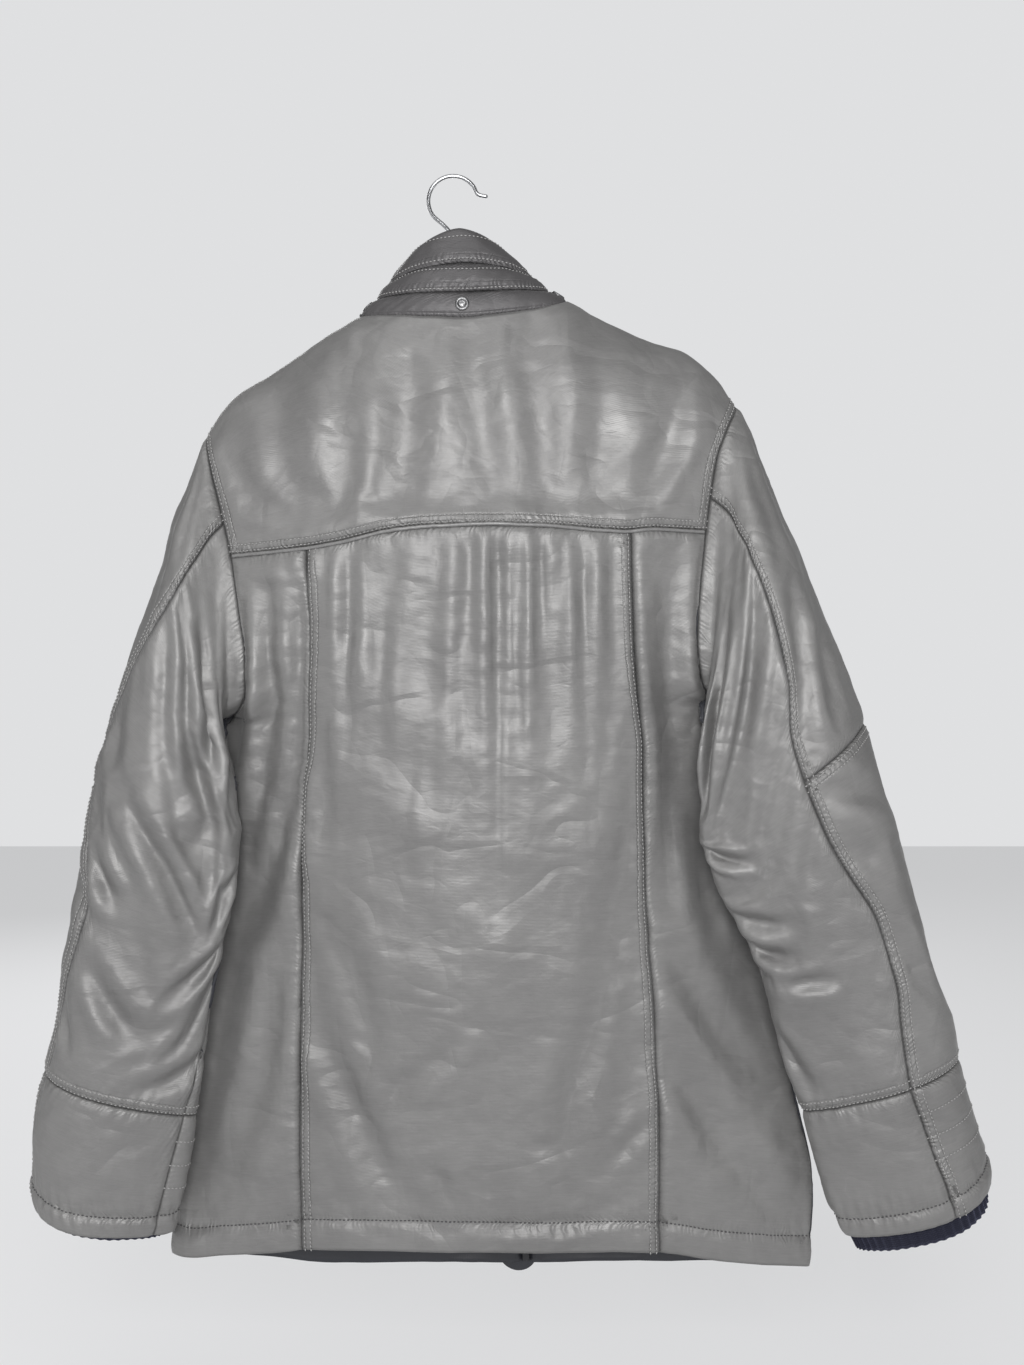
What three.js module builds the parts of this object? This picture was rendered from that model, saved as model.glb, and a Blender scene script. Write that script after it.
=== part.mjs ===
// A padded jacket, zipped up and hung by its shoulders on a hanger.
// Millimetres, +Z up. The origin is the inner top of the hook, the back of the jacket faces -Y,
// and +X is the wearer's right.
import * as THREE from "three";

// Driving sizes
const CLOTH = 3.2; // shell, thin padding and lining together
const COLLAR_CLOTH = 3.6;
const SEAM_INSET = 0.2; // each piece stops this far short of the seam line
const RIDGE_Y = 2; // the shoulder ridge lies in this plane
const BACK_ARCH = 95; // height over which the back rounds over the shoulder
const FRONT_ARCH = 62;
const SIDE_ROUND = 9; // half thickness of the flattened side edge
const ROUND_START = 7; // height above the underarm where the side edge begins to round
const NECK_X = 10;
const NECK_HALF = 87;
const NECK_BACK_Z = -125;
const NECK_FRONT_Z = -195;
const SHOULDER_TO_NECK_DEG = 110; // how far round the neck the shoulder seam meets it
const ZIP_GAP_HALF = 3.2;
const ZIP_HALF = 2.8;
const ZIP_CLOTH = 2.2;
const ZIP_SINK = 0.5; // the zip lies this far below the cloth's face
const ZIP_ROWS = 18;
const ZIP_COLLAR_ROWS = 5;
const PLACKET_CLOTH = 2.4;
const PLACKET_LIFT = 0.7; // air between the placket and the front beneath it
// The placket's sewn and free edges lie this far from the zip; its end hangs below the hem.
const PLACKET = {
  from: -25,
  to: 11,
  columns: 8,
  rows: 16,
  topZ: -232,
  drop: 8,
  cornerRise: 12,
  hemX: 60,
};
const PIPING_RADIUS = 1.5;
const WIRE_RADIUS = 1.7;
const SNAP_LIFT = 0.45; // air between a snap's flat underside and the collar
const HOOK = { radius: 21, centreX: 1, shankX: 4, seatGap: 0.35 };
const HANGER_HALF_DEPTH = 7;
const HANGER_Y = -2;
const HANGER_LIFT = 3.2; // air between the hanger and the cloth above it
const HANGER_HEIGHT = 15;
const HANGER_BAR = { from: -160, to: 184, steps: 30, endSize: 0.55 };
const UNDER_NECK_DROP = 11.5; // the bar runs lower below the neck, clear of the opening's edge
const DROP_START = 6; // the bar stays low this far past the neck's sides
const DROP_LENGTH = 22; // and comes up again over this length
const KNIT_CLOTH = 2.4;
const KNIT_CLEAR = 2.6; // air between the inner cuff and the sleeve round it
const KNIT_REACH = { left: 4, right: 15 }; // how far the inner cuff peeks out

// Grid counts
const ARM_STEPS = 14; // shoulder tip to underarm
const YOKE_STEP = 6; // armhole sample where the yoke seam ends
const SHOULDER_STEP = 2; // front armhole sample where the shoulder seam ends
const BACK_SEAM_STEP = 5; // armhole sample where the back sleeve seam starts
const FRONT_SEAM_STEP = 5;
const HEM_STEPS = 11; // underarm to hem
const SIDE_COLUMNS = 6;
const CENTRE_COLUMNS = 24;
const FRONT_COLUMNS = 13;
const SHOULDER_COLUMNS = 9;

// Side edges of the body: armhole curve down to the underarm, then the side seam.
const SIDE_EDGE = {
  left: [
    { z: -120, x: -210, back: -22, front: 34 },
    { z: -217.2, x: -207, back: -23, front: 34 },
    { z: -250, x: -199.8, back: -24, front: 35 },
    { z: -280, x: -191.5, back: -25, front: 36 },
    { z: -320.7, x: -181.9, back: -26, front: 36 },
    { z: -365, x: -175.5, back: -27, front: 36 },
    { z: -406, x: -170.5, back: -26, front: 35 },
    { z: -429, x: -170.5, back: -22, front: 34 },
    { z: -441, x: -173, back: -17, front: 32 },
    { z: -449, x: -177.5, back: -9, front: 30 },
    { z: -453.5, x: -183, back: 2, front: 27 },
    { z: -455, x: -189, back: 16, front: 16 },
    { z: -470, x: -200, back: 23, front: 23 },
    { z: -492, x: -207, back: 26, front: 26 },
    { z: -612, x: -213.4, back: 28, front: 28 },
    { z: -783, x: -225.2, back: 22, front: 22 },
    { z: -909.5, x: -239.2, back: 10, front: 10 },
  ],
  right: [
    { z: -100, x: 243, back: -22, front: 34 },
    { z: -191.8, x: 239.8, back: -23, front: 34 },
    { z: -215, x: 229.4, back: -24, front: 35 },
    { z: -241, x: 219.8, back: -25, front: 35 },
    { z: -300.5, x: 211.1, back: -25, front: 36 },
    { z: -354, x: 205.9, back: -27, front: 36 },
    { z: -390, x: 204.5, back: -26, front: 35 },
    { z: -414, x: 206.5, back: -22, front: 34 },
    { z: -427, x: 209, back: -17, front: 32 },
    { z: -434.5, x: 213, back: -9, front: 30 },
    { z: -439, x: 219, back: 2, front: 27 },
    { z: -440.4, x: 225, back: 16, front: 16 },
    { z: -456, x: 236, back: 23, front: 23 },
    { z: -478, x: 244, back: 26, front: 26 },
    { z: -552, x: 252, back: 28, front: 28 },
    { z: -699, x: 276, back: 24, front: 24 },
    { z: -866, x: 308, back: 12, front: 12 },
    { z: -920, x: 303, back: 8, front: 8 },
  ],
};

// Middle of the back and front sheets, and the zip line
const MIDDLE = [
  { z: -100, back: -50, front: 42, zip: 10 },
  { z: -200, back: -54, front: 44, zip: 10 },
  { z: -300, back: -58, front: 45, zip: 15 },
  { z: -400, back: -60, front: 46, zip: 21 },
  { z: -500, back: -60, front: 46, zip: 28 },
  { z: -620, back: -55, front: 44, zip: 38 },
  { z: -740, back: -47, front: 41, zip: 48 },
  { z: -840, back: -38, front: 38, zip: 56 },
  { z: -940, back: -30, front: 35, zip: 64 },
];

const RIDGE = [
  { x: -230, z: -226 },
  { x: -207, z: -217.2 },
  { x: -196.9, z: -203.7 },
  { x: -185.1, z: -188.5 },
  { x: -174.9, z: -180 },
  { x: -157.2, z: -169.9 },
  { x: -126.8, z: -150.5 },
  { x: -94.7, z: -129.3 },
  { x: -79.5, z: -117.5 },
  { x: -30, z: -104 },
  { x: 10, z: -101 },
  { x: 60, z: -101 },
  { x: 92.8, z: -104 },
  { x: 117.3, z: -117.5 },
  { x: 145.2, z: -130.2 },
  { x: 170.5, z: -140.3 },
  { x: 196.7, z: -148.8 },
  { x: 213.6, z: -162.3 },
  { x: 228, z: -178.3 },
  { x: 239.8, z: -191.8 },
  { x: 260, z: -198 },
];

const YOKE_SEAM = [
  { x: -181.9, z: -320.7 },
  { x: -120.5, z: -315.8 },
  { x: -86.3, z: -310.8 },
  { x: -52.7, z: -303.1 },
  { x: -19.5, z: -299.3 },
  { x: 24.8, z: -297.4 },
  { x: 74.8, z: -298.1 },
  { x: 141.7, z: -301.8 },
  { x: 166.8, z: -299.4 },
  { x: 211.1, z: -300.5 },
];

// The two long back seams
const BACK_SEAM = [
  { z: -290, left: -117.2, right: 147.4 },
  { z: -390, left: -115.7, right: 150 },
  { z: -480, left: -118.2, right: 158.4 },
  { z: -520, left: -122.5, right: 159.7 },
  { z: -600, left: -123.5, right: 162 },
  { z: -690, left: -124.7, right: 167.7 },
  { z: -795, left: -125.9, right: 172.3 },
  { z: -910, left: -124, right: 172.8 },
];

const BACK_HEM = [
  { x: -239.2, z: -909.5 },
  { x: -225.2, z: -911.4 },
  { x: -191.1, z: -906.8 },
  { x: -147.1, z: -901.2 },
  { x: -114.8, z: -896.4 },
  { x: -50.5, z: -894 },
  { x: 12.5, z: -893.3 },
  { x: 124.5, z: -894.8 },
  { x: 175.5, z: -897.9 },
  { x: 214.8, z: -906 },
  { x: 260.6, z: -914.1 },
  { x: 303, z: -920 },
];

const FRONT_HEM = [
  { x: -239.2, z: -909.5 },
  { x: -190, z: -916 },
  { x: -150, z: -921 },
  { x: -110, z: -926 },
  { x: 30, z: -928 },
  { x: 130, z: -926 },
  { x: 200, z: -924 },
  { x: 303, z: -920 },
];

// Rings of the collar above the neckline: t is the share of the collar's height.
const COLLAR_RINGS = [
  { t: 0, half: 87, backY: -32, backZ: -125, sideY: 2, sideZ: -110, frontY: 44, frontZ: -195 },
  { t: 0.27, half: 73, backY: -31, backZ: -104, sideY: 6, sideZ: -99, frontY: 50, frontZ: -178 },
  { t: 0.6, half: 63, backY: -27, backZ: -79, sideY: 15, sideZ: -90, frontY: 55, frontZ: -160 },
  { t: 1, half: 54, backY: -18, backZ: -48, sideY: 33, sideZ: -86, frontY: 58, frontZ: -138 },
];
const COLLAR_SEAMS = [0, 0.27, 0.6, 1];
const COLLAR_START = 0.035; // the lowest band starts just clear of the neckline
const COLLAR_SETTLE = 0.6; // the ring has its own shape from this share of the height on
const COLLAR_LEAN = 3; // how far the top leans towards the wearer's left
const COLLAR_TILT = 5; // the right side of the neck hangs this much higher

// Sleeve stations from armhole (0) to cuff end (16): outer and inner edge of the sleeve tube
const SLEEVE_EDGES = {
  left: [
    { s: 0, outX: -207, outZ: -217.2, outY: 2, inX: -189, inZ: -455, inY: 16 },
    { s: 0.4, outX: -212.6, outZ: -229.6, outY: 2, inX: -197, inZ: -459, inY: 9 },
    { s: 1, outX: -221.4, outZ: -250.1, outY: 2, inX: -203, inZ: -467, inY: -1 },
    { s: 2, outX: -236.1, outZ: -292.6, outY: 0, inX: -199, inZ: -484, inY: -15 },
    { s: 3, outX: -251.7, outZ: -343.3, outY: -2, inX: -188, inZ: -502, inY: -22 },
    { s: 4, outX: -267.2, outZ: -393.9, outY: -4, inX: -174, inZ: -523, inY: -26 },
    { s: 5, outX: -286, outZ: -452.7, outY: -6, inX: -169.5, inZ: -543.3, inY: -25 },
    { s: 6, outX: -298.8, outZ: -507.1, outY: -8, inX: -173.6, inZ: -569.8, inY: -25 },
    { s: 7, outX: -303.9, outZ: -555.7, outY: -8, inX: -177.3, inZ: -599.8, inY: -23 },
    { s: 8, outX: -313.6, outZ: -607.5, outY: -9, inX: -184.3, inZ: -632.5, inY: -21 },
    { s: 9, outX: -322.6, outZ: -657.6, outY: -10, inX: -193, inZ: -664.4, inY: -19 },
    { s: 10, outX: -327.6, outZ: -697.7, outY: -10, inX: -201.7, inZ: -706.4, inY: -16 },
    { s: 11, outX: -333.4, outZ: -724.5, outY: -10, inX: -208.8, inZ: -745.2, inY: -14 },
    { s: 12, outX: -339.3, outZ: -746.3, outY: -10, inX: -213.4, inZ: -785.8, inY: -12 },
    { s: 13, outX: -346, outZ: -774.7, outY: -10, inX: -216.7, inZ: -811.7, inY: -12 },
    { s: 14, outX: -348.5, outZ: -804, outY: -10, inX: -220.9, inZ: -836.8, inY: -12 },
    { s: 15, outX: -348.5, outZ: -829.1, outY: -10, inX: -225.9, inZ: -860.2, inY: -12 },
    { s: 16, outX: -347.5, outZ: -850.8, outY: -10, inX: -231.7, inZ: -881.1, inY: -12 },
  ],
  right: [
    { s: 0, outX: 239.8, outZ: -191.8, outY: 2, inX: 225, inZ: -440.4, inY: 16 },
    { s: 0.4, outX: 247, outZ: -204.5, outY: 2, inX: 233, inZ: -444, inY: 9 },
    { s: 1, outX: 258.4, outZ: -227.3, outY: 2, inX: 239, inZ: -452, inY: -1 },
    { s: 2, outX: 273.2, outZ: -263.1, outY: 0, inX: 234, inZ: -470, inY: -17 },
    { s: 3, outX: 292.3, outZ: -307.9, outY: -2, inX: 221, inZ: -493, inY: -27 },
    { s: 4, outX: 311.2, outZ: -357.7, outY: -4, inX: 205, inZ: -521, inY: -33 },
    { s: 5, outX: 330.9, outZ: -406.5, outY: -6, inX: 200.6, inZ: -548.6, inY: -33 },
    { s: 6, outX: 348.1, outZ: -456.8, outY: -8, inX: 208.1, inZ: -565.2, inY: -31 },
    { s: 7, outX: 364, outZ: -507.1, outY: -8, inX: 217.5, inZ: -590.2, inY: -28 },
    { s: 8, outX: 378.8, outZ: -557.3, outY: -9, inX: 231.1, inZ: -615.4, inY: -24 },
    { s: 9, outX: 392, outZ: -607.4, outY: -10, inX: 246.5, inZ: -643.3, inY: -21 },
    { s: 10, outX: 403.7, outZ: -657.6, outY: -10, inX: 258.6, inZ: -677.1, inY: -18 },
    { s: 11, outX: 415.4, outZ: -699.4, outY: -10, inX: 271.6, inZ: -719.4, inY: -15 },
    { s: 12, outX: 422.9, outZ: -736.2, outY: -10, inX: 292, inZ: -782.5, inY: -12 },
    { s: 13, outX: 430.4, outZ: -768, outY: -10, inX: 297.9, inZ: -803.4, inY: -12 },
    { s: 14, outX: 438.8, outZ: -796.5, outY: -10, inX: 306.2, inZ: -827.6, inY: -12 },
    { s: 15, outX: 444.7, outZ: -816.5, outY: -10, inX: 313.7, inZ: -856, inY: -12 },
    { s: 16, outX: 448.9, outZ: -834.9, outY: -10, inX: 327.9, inZ: -884.4, inY: -12 },
  ],
};
// Half depth of the tube, droop of its near side, and where the two lengthwise seams lie,
// in degrees from the outer edge over the back face
const SLEEVE_SECTIONS = {
  left: [
    { s: 0, depth: 31, dip: 0, backSeam: 64.3, frontSeam: 295.7 },
    { s: 0.4, depth: 33, dip: 0, backSeam: 66, frontSeam: 292 },
    { s: 1, depth: 36, dip: 0, backSeam: 69, frontSeam: 288 },
    { s: 2, depth: 40, dip: 0, backSeam: 64, frontSeam: 278 },
    { s: 3, depth: 42, dip: 0, backSeam: 52, frontSeam: 262 },
    { s: 4, depth: 43, dip: 0, backSeam: 38, frontSeam: 246 },
    { s: 5, depth: 43, dip: 0, backSeam: 25, frontSeam: 230 },
    { s: 6, depth: 42, dip: 0, backSeam: 20, frontSeam: 214 },
    { s: 7, depth: 41, dip: 0, backSeam: 27, frontSeam: 203 },
    { s: 8, depth: 39, dip: 0, backSeam: 43, frontSeam: 195 },
    { s: 9, depth: 37, dip: 0, backSeam: 35, frontSeam: 188 },
    { s: 10, depth: 36, dip: 1, backSeam: 24, frontSeam: 181 },
    { s: 11, depth: 35, dip: 2, backSeam: 26, frontSeam: 166 },
    { s: 12, depth: 34, dip: 3, backSeam: 22, frontSeam: 152 },
    { s: 13, depth: 34, dip: 5, backSeam: 15, frontSeam: 146 },
    { s: 14, depth: 34, dip: 7, backSeam: 14, frontSeam: 142 },
    { s: 15, depth: 34, dip: 9, backSeam: 15, frontSeam: 140 },
    { s: 16, depth: 33, dip: 11, backSeam: 16, frontSeam: 140 },
  ],
  right: [
    { s: 0, depth: 31, dip: 0, backSeam: 64.3, frontSeam: 295.7 },
    { s: 0.4, depth: 33, dip: 0, backSeam: 66, frontSeam: 292 },
    { s: 1, depth: 36, dip: 0, backSeam: 69.6, frontSeam: 289 },
    { s: 2, depth: 40, dip: 0, backSeam: 70, frontSeam: 281 },
    { s: 3, depth: 42, dip: 0, backSeam: 71, frontSeam: 270 },
    { s: 4, depth: 43, dip: 0, backSeam: 73, frontSeam: 259 },
    { s: 5, depth: 43, dip: 0, backSeam: 81.5, frontSeam: 248 },
    { s: 6, depth: 42, dip: 0, backSeam: 83.7, frontSeam: 238 },
    { s: 7, depth: 41, dip: 0, backSeam: 82, frontSeam: 230 },
    { s: 8, depth: 39, dip: 0, backSeam: 76.6, frontSeam: 223 },
    { s: 9, depth: 37, dip: 0, backSeam: 68, frontSeam: 218 },
    { s: 10, depth: 36, dip: 1, backSeam: 66, frontSeam: 214 },
    { s: 11, depth: 35, dip: 2, backSeam: 71, frontSeam: 211 },
    { s: 12, depth: 34, dip: 3, backSeam: 74.8, frontSeam: 210 },
    { s: 13, depth: 34, dip: 5, backSeam: 71.6, frontSeam: 210 },
    { s: 14, depth: 34, dip: 7, backSeam: 70, frontSeam: 210 },
    { s: 15, depth: 34, dip: 9, backSeam: 67, frontSeam: 210 },
    { s: 16, depth: 33, dip: 11, backSeam: 66.7, frontSeam: 210 },
  ],
};
const UPPER_STATIONS = [0, 0.35, 0.8, 1.4, 2, 2.6, 3.2, 4, 4.6, 5.3, 6];
const LOWER_STEP = 0.75;
const ELBOW_STATION = 6;
const CUFF_STATION = 12;
const LAST_STATION = 16;
const FRONT_FLATTER = 0.8; // the side of the sleeve that faces forward
// How many stations the armhole's outline still pulls at the tube, sideways, forward and up
const SETTLE = { x: 2.4, y: 2.2, z: 4 };

// Large creases of the back and sleeves: a soft trough from one end to the other
const BACK_FOLDS = [
  { x1: -150, z1: -370, x2: -165, z2: -520, width: 12, depth: 5 },
  { x1: -130, z1: -400, x2: -160, z2: -600, width: 14, depth: 4 },
  { x1: -116, z1: -730, x2: -60, z2: -860, width: 12, depth: 3.5 },
  { x1: 20, z1: -715, x2: -70, z2: -790, width: 10, depth: 2.5 },
  { x1: 186, z1: -340, x2: 182, z2: -600, width: 13, depth: 4.5 },
  { x1: 175, z1: -735, x2: 255, z2: -860, width: 12, depth: 4 },
  { x1: 150, z1: -170, x2: 118, z2: -285, width: 13, depth: 3 },
  { x1: 30, z1: -190, x2: 40, z2: -285, width: 14, depth: 2.5 },
  { x1: -70, z1: -190, x2: -60, z2: -290, width: 14, depth: 2.5 },
];
const GATHERS = { count: 13, depth: 2.4, peak: 28, fade: 150, from: -112, to: 143 };

const SLEEVE_FOLDS = {
  left: [
    { s1: 3.4, a1: 120, s2: 5.6, a2: 165, width: 0.45, depth: 6 },
    { s1: 5.2, a1: 35, s2: 7.2, a2: 120, width: 0.5, depth: 5 },
    { s1: 7.6, a1: 30, s2: 8.4, a2: 70, width: 0.4, depth: 4 },
    { s1: 8.6, a1: 160, s2: 9.6, a2: 90, width: 0.45, depth: 4 },
    { s1: 5.4, a1: 330, s2: 7, a2: 250, width: 0.5, depth: 5 },
    { s1: 8.2, a1: 240, s2: 9.6, a2: 320, width: 0.5, depth: 4 },
  ],
  right: [
    { s1: 7.2, a1: 165, s2: 8, a2: 110, width: 0.4, depth: 5 },
    { s1: 8.4, a1: 165, s2: 8.9, a2: 105, width: 0.4, depth: 4 },
    { s1: 9.4, a1: 160, s2: 9.2, a2: 100, width: 0.4, depth: 4 },
    { s1: 3.2, a1: 40, s2: 5.6, a2: 55, width: 0.6, depth: 3 },
    { s1: 5.4, a1: 330, s2: 7, a2: 250, width: 0.5, depth: 5 },
    { s1: 8.2, a1: 240, s2: 9.6, a2: 320, width: 0.5, depth: 4 },
  ],
};

const COLOURS = {
  shell: 0x7b7a79,
  collar: 0x59575a,
  knit: 0x0e1022,
  chrome: 0xc9ccd0,
  wood: 0x2b2b2d,
  zip: 0x2c2d31,
  snap: 0x4a4b50,
};

// Small maths
const mix = (a, b, t) => a + (b - a) * t;
const clamp = (v, low, high) => Math.min(Math.max(v, low), high);
const ease = (t) => t * t * (3 - 2 * t);
const rad = (degrees) => (degrees * Math.PI) / 180;

// A smooth reader of one column of a table, without overshoot between its rows
function column(rows, along, name) {
  const sorted = [...rows].sort((a, b) => a[along] - b[along]);
  const xs = sorted.map((row) => row[along]);
  const ys = sorted.map((row) => row[name]);
  const last = xs.length - 1;
  const slopes = xs.map((x, i) => {
    if (i === 0 || i === last) return 0;
    const before = (ys[i] - ys[i - 1]) / (xs[i] - xs[i - 1]);
    const after = (ys[i + 1] - ys[i]) / (xs[i + 1] - xs[i]);
    return before * after <= 0 ? 0 : (2 * before * after) / (before + after);
  });
  slopes[0] = (ys[1] - ys[0]) / (xs[1] - xs[0]);
  slopes[last] = (ys[last] - ys[last - 1]) / (xs[last] - xs[last - 1]);
  return (value) => {
    const v = clamp(value, xs[0], xs[last]);
    let i = 0;
    while (i < last - 1 && v > xs[i + 1]) i += 1;
    const span = xs[i + 1] - xs[i];
    const t = (v - xs[i]) / span;
    const t2 = t * t;
    const t3 = t2 * t;
    return (
      (2 * t3 - 3 * t2 + 1) * ys[i] +
      (t3 - 2 * t2 + t) * span * slopes[i] +
      (3 * t2 - 2 * t3) * ys[i + 1] +
      (t3 - t2) * span * slopes[i + 1]
    );
  };
}

const readers = (rows, along, names) =>
  Object.fromEntries(names.map((name) => [name, column(rows, along, name)]));

const edge = {
  left: readers(SIDE_EDGE.left, "z", ["x", "back", "front"]),
  right: readers(SIDE_EDGE.right, "z", ["x", "back", "front"]),
};
const middle = readers(MIDDLE, "z", ["back", "front", "zip"]);
const ridge = column(RIDGE, "x", "z");
const yokeSeam = column(YOKE_SEAM, "x", "z");
const backSeam = readers(BACK_SEAM, "z", ["left", "right"]);
const backHem = column(BACK_HEM, "x", "z");
const frontHem = column(FRONT_HEM, "x", "z");
const EDGE_NAMES = ["outX", "outZ", "outY", "inX", "inZ", "inY"];
const SECTION_NAMES = ["depth", "dip", "backSeam", "frontSeam"];
const sleeveReaders = (side) => ({
  ...readers(SLEEVE_EDGES[side], "s", EDGE_NAMES),
  ...readers(SLEEVE_SECTIONS[side], "s", SECTION_NAMES),
});
const sleeveAt = { left: sleeveReaders("left"), right: sleeveReaders("right") };

const shoulderTipZ = { left: -217.2, right: -191.8 };
const underarmZ = { left: -455, right: -440.4 };
const hemCornerZ = { left: -909.5, right: -920 };

// Body: two sheets, back and front, that meet at the sides and round over the shoulders
const across = (z) => ({
  mid: (edge.left.x(z) + edge.right.x(z)) / 2,
  half: (edge.right.x(z) - edge.left.x(z)) / 2,
});

// The flattened side edge starts at the underarm
function roundAt(s, z) {
  const start = mix(underarmZ.left, underarmZ.right, (s + 1) / 2) + ROUND_START;
  return SIDE_ROUND * ease(clamp((start - z) / ROUND_START, 0, 1));
}

function sheetY(isFront, s, z) {
  const name = isFront ? "front" : "back";
  const side = clamp(s, -1, 1);
  const edgeY = mix(edge.left[name](z), edge.right[name](z), (side + 1) / 2);
  const fullness = isFront ? 1 - Math.abs(side) ** 2.6 : (1 - side * side) ** 1.12;
  const round = roundAt(side, z) * (isFront ? 1 : -1);
  const edgeShare = Math.sqrt(Math.max(0, 1 - side ** 10));
  return edgeY + (middle[name](z) - edgeY - round) * fullness + round * edgeShare;
}

function archShare(drop, height) {
  const q = clamp(drop / height, 0, 1);
  return Math.sqrt(1 - (1 - q) ** 2);
}

function sheetPoint(isFront, s, z) {
  const { mid, half } = across(z);
  const x = mid + half * s;
  const arch = archShare(ridge(x) - z, isFront ? FRONT_ARCH : BACK_ARCH);
  return new THREE.Vector3(x, RIDGE_Y + (sheetY(isFront, s, z) - RIDGE_Y) * arch, z);
}

function crossNormal(alongA, alongB, sign) {
  return new THREE.Vector3().crossVectors(alongA, alongB).multiplyScalar(sign).normalize();
}

function sheetNormal(isFront, s, z) {
  const step = 1e-5;
  const low = sheetPoint(isFront, Math.max(s - step, -1), z);
  const high = sheetPoint(isFront, Math.min(s + step, 1), z);
  const up = sheetPoint(isFront, s, z + 0.05);
  const down = sheetPoint(isFront, s, z - 0.05);
  return crossNormal(high.sub(low).multiplyScalar(1e4), up.sub(down), isFront ? -1 : 1);
}

// Over the shoulder: p is 0 on the ridge, 1 where the back arch ends, and negative in front.
function overPoint(x, p) {
  const isFront = p < 0;
  const height = isFront ? FRONT_ARCH : BACK_ARCH;
  const turn = Math.min(Math.abs(p), 1);
  const below = Math.max(Math.abs(p) - 1, 0) * height;
  const z = ridge(x) - height * (1 - Math.cos(rad(90 * turn))) - below;
  const { mid, half } = across(z);
  const y = sheetY(isFront, (x - mid) / half, z);
  return new THREE.Vector3(x, RIDGE_Y + (y - RIDGE_Y) * Math.sin(rad(90 * turn)), z);
}

function overNormal(x, p) {
  const alongX = overPoint(x + 0.05, p).sub(overPoint(x - 0.05, p));
  const alongP = overPoint(x, p + 1e-3).sub(overPoint(x, p - 1e-3));
  return crossNormal(alongX, alongP, -1);
}

// The p of a height below the ridge
function shareOf(x, z, isFront) {
  const height = isFront ? FRONT_ARCH : BACK_ARCH;
  const drop = Math.max(ridge(x) - z, 0) / height;
  const p = drop < 1 ? Math.acos(1 - drop) / rad(90) : drop;
  return isFront ? -p : p;
}

// Largest creases, as a shift along the surface normal
function troughs(rows, x, z) {
  return rows.reduce((sum, fold) => {
    const dx = fold.x2 - fold.x1;
    const dz = fold.z2 - fold.z1;
    const t = clamp(((x - fold.x1) * dx + (z - fold.z1) * dz) / (dx * dx + dz * dz), 0, 1);
    const away = Math.hypot(x - fold.x1 - t * dx, z - fold.z1 - t * dz) / fold.width;
    return sum - fold.depth * Math.exp(-away * away) * Math.sin(Math.PI * mix(0.1, 0.9, t));
  }, 0);
}

function gathers(x, z) {
  const below = yokeSeam(x) - z;
  if (below <= 0) return 0;
  const share = clamp((x - GATHERS.from) / (GATHERS.to - GATHERS.from), 0, 1);
  const rise = below < GATHERS.peak ? ease(below / GATHERS.peak) : 1;
  const fall = 1 - ease(clamp((below - GATHERS.peak) / GATHERS.fade, 0, 1));
  const wave = Math.sin(share * GATHERS.count * 2 * Math.PI + 2 * Math.sin(share * 9));
  return GATHERS.depth * wave * rise * fall * Math.sin(Math.PI * share) ** 0.5;
}

function bodyRelief(x, z) {
  const fromSeam = clamp(Math.abs(yokeSeam(x) - z) / 12, 0, 1);
  return (troughs(BACK_FOLDS, x, z) + gathers(x, z)) * fromSeam;
}

// Armhole samples, shared by the body's edge and the sleeve's first ring
function armholeHeight(side, i) {
  const seamX = side === "left" ? YOKE_SEAM[0].x : YOKE_SEAM[YOKE_SEAM.length - 1].x;
  const seamZ = yokeSeam(seamX);
  if (i <= YOKE_STEP) return mix(shoulderTipZ[side], seamZ, (i / YOKE_STEP) ** 1.6);
  const t = (i - YOKE_STEP) / (ARM_STEPS - YOKE_STEP);
  return mix(seamZ, underarmZ[side], 1 - (1 - t) ** 2);
}

function armholeSample(side, i, isFront) {
  const z = armholeHeight(side, i);
  const x = edge[side].x(z);
  const sign = side === "left" ? -1 : 1;
  if (i <= YOKE_STEP) {
    const p = i === 0 ? 0 : shareOf(x, z, isFront);
    return { x, z, p, point: overPoint(x, p), normal: overNormal(x, p) };
  }
  const point = sheetPoint(isFront, sign, z);
  return { x, z, p: shareOf(x, z, isFront), point, normal: sheetNormal(isFront, sign, z) };
}

function armholeLoop(side) {
  const loop = [];
  for (let i = 0; i <= ARM_STEPS; i += 1) loop.push(armholeSample(side, i, false));
  for (let i = ARM_STEPS - 1; i > 0; i -= 1) loop.push(armholeSample(side, i, true));
  return loop;
}
const loops = { left: armholeLoop("left"), right: armholeLoop("right") };

// The neckline, from the back centre (0 degrees) round to the front centre (180)
function neckPoint(degrees) {
  const angle = rad(degrees);
  const x = NECK_X + NECK_HALF * Math.sin(angle);
  const sideX = NECK_X + NECK_HALF * Math.sign(Math.sin(angle) || 1);
  const sideZ = ridge(sideX);
  const isFront = Math.abs(degrees) > 90;
  const z = isFront
    ? mix(sideZ, NECK_FRONT_Z, -Math.cos(angle))
    : Math.min(mix(NECK_BACK_Z, sideZ, (1 - Math.cos(angle)) ** 0.7), ridge(x));
  return { x, z, p: shareOf(x, z, isFront) };
}

// A four-sided patch from its boundary lists, in whatever two coordinates they use
function coons(top, bottom, left, right, spread) {
  const columns = top.length - 1;
  const rows = left.length - 1;
  const grid = [];
  for (let r = 0; r <= rows; r += 1) {
    const v = r / rows;
    grid.push(
      top.map((_, c) => {
        const u = spread ? spread[c] : c / columns;
        return [0, 1].map((k) => {
          const ruled = mix(top[c][k], bottom[c][k], v) + mix(left[r][k], right[r][k], u);
          const corners = mix(
            mix(top[0][k], top[columns][k], u),
            mix(bottom[0][k], bottom[columns][k], u),
            v,
          );
          return ruled - corners;
        });
      }),
    );
  }
  return grid;
}

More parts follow.
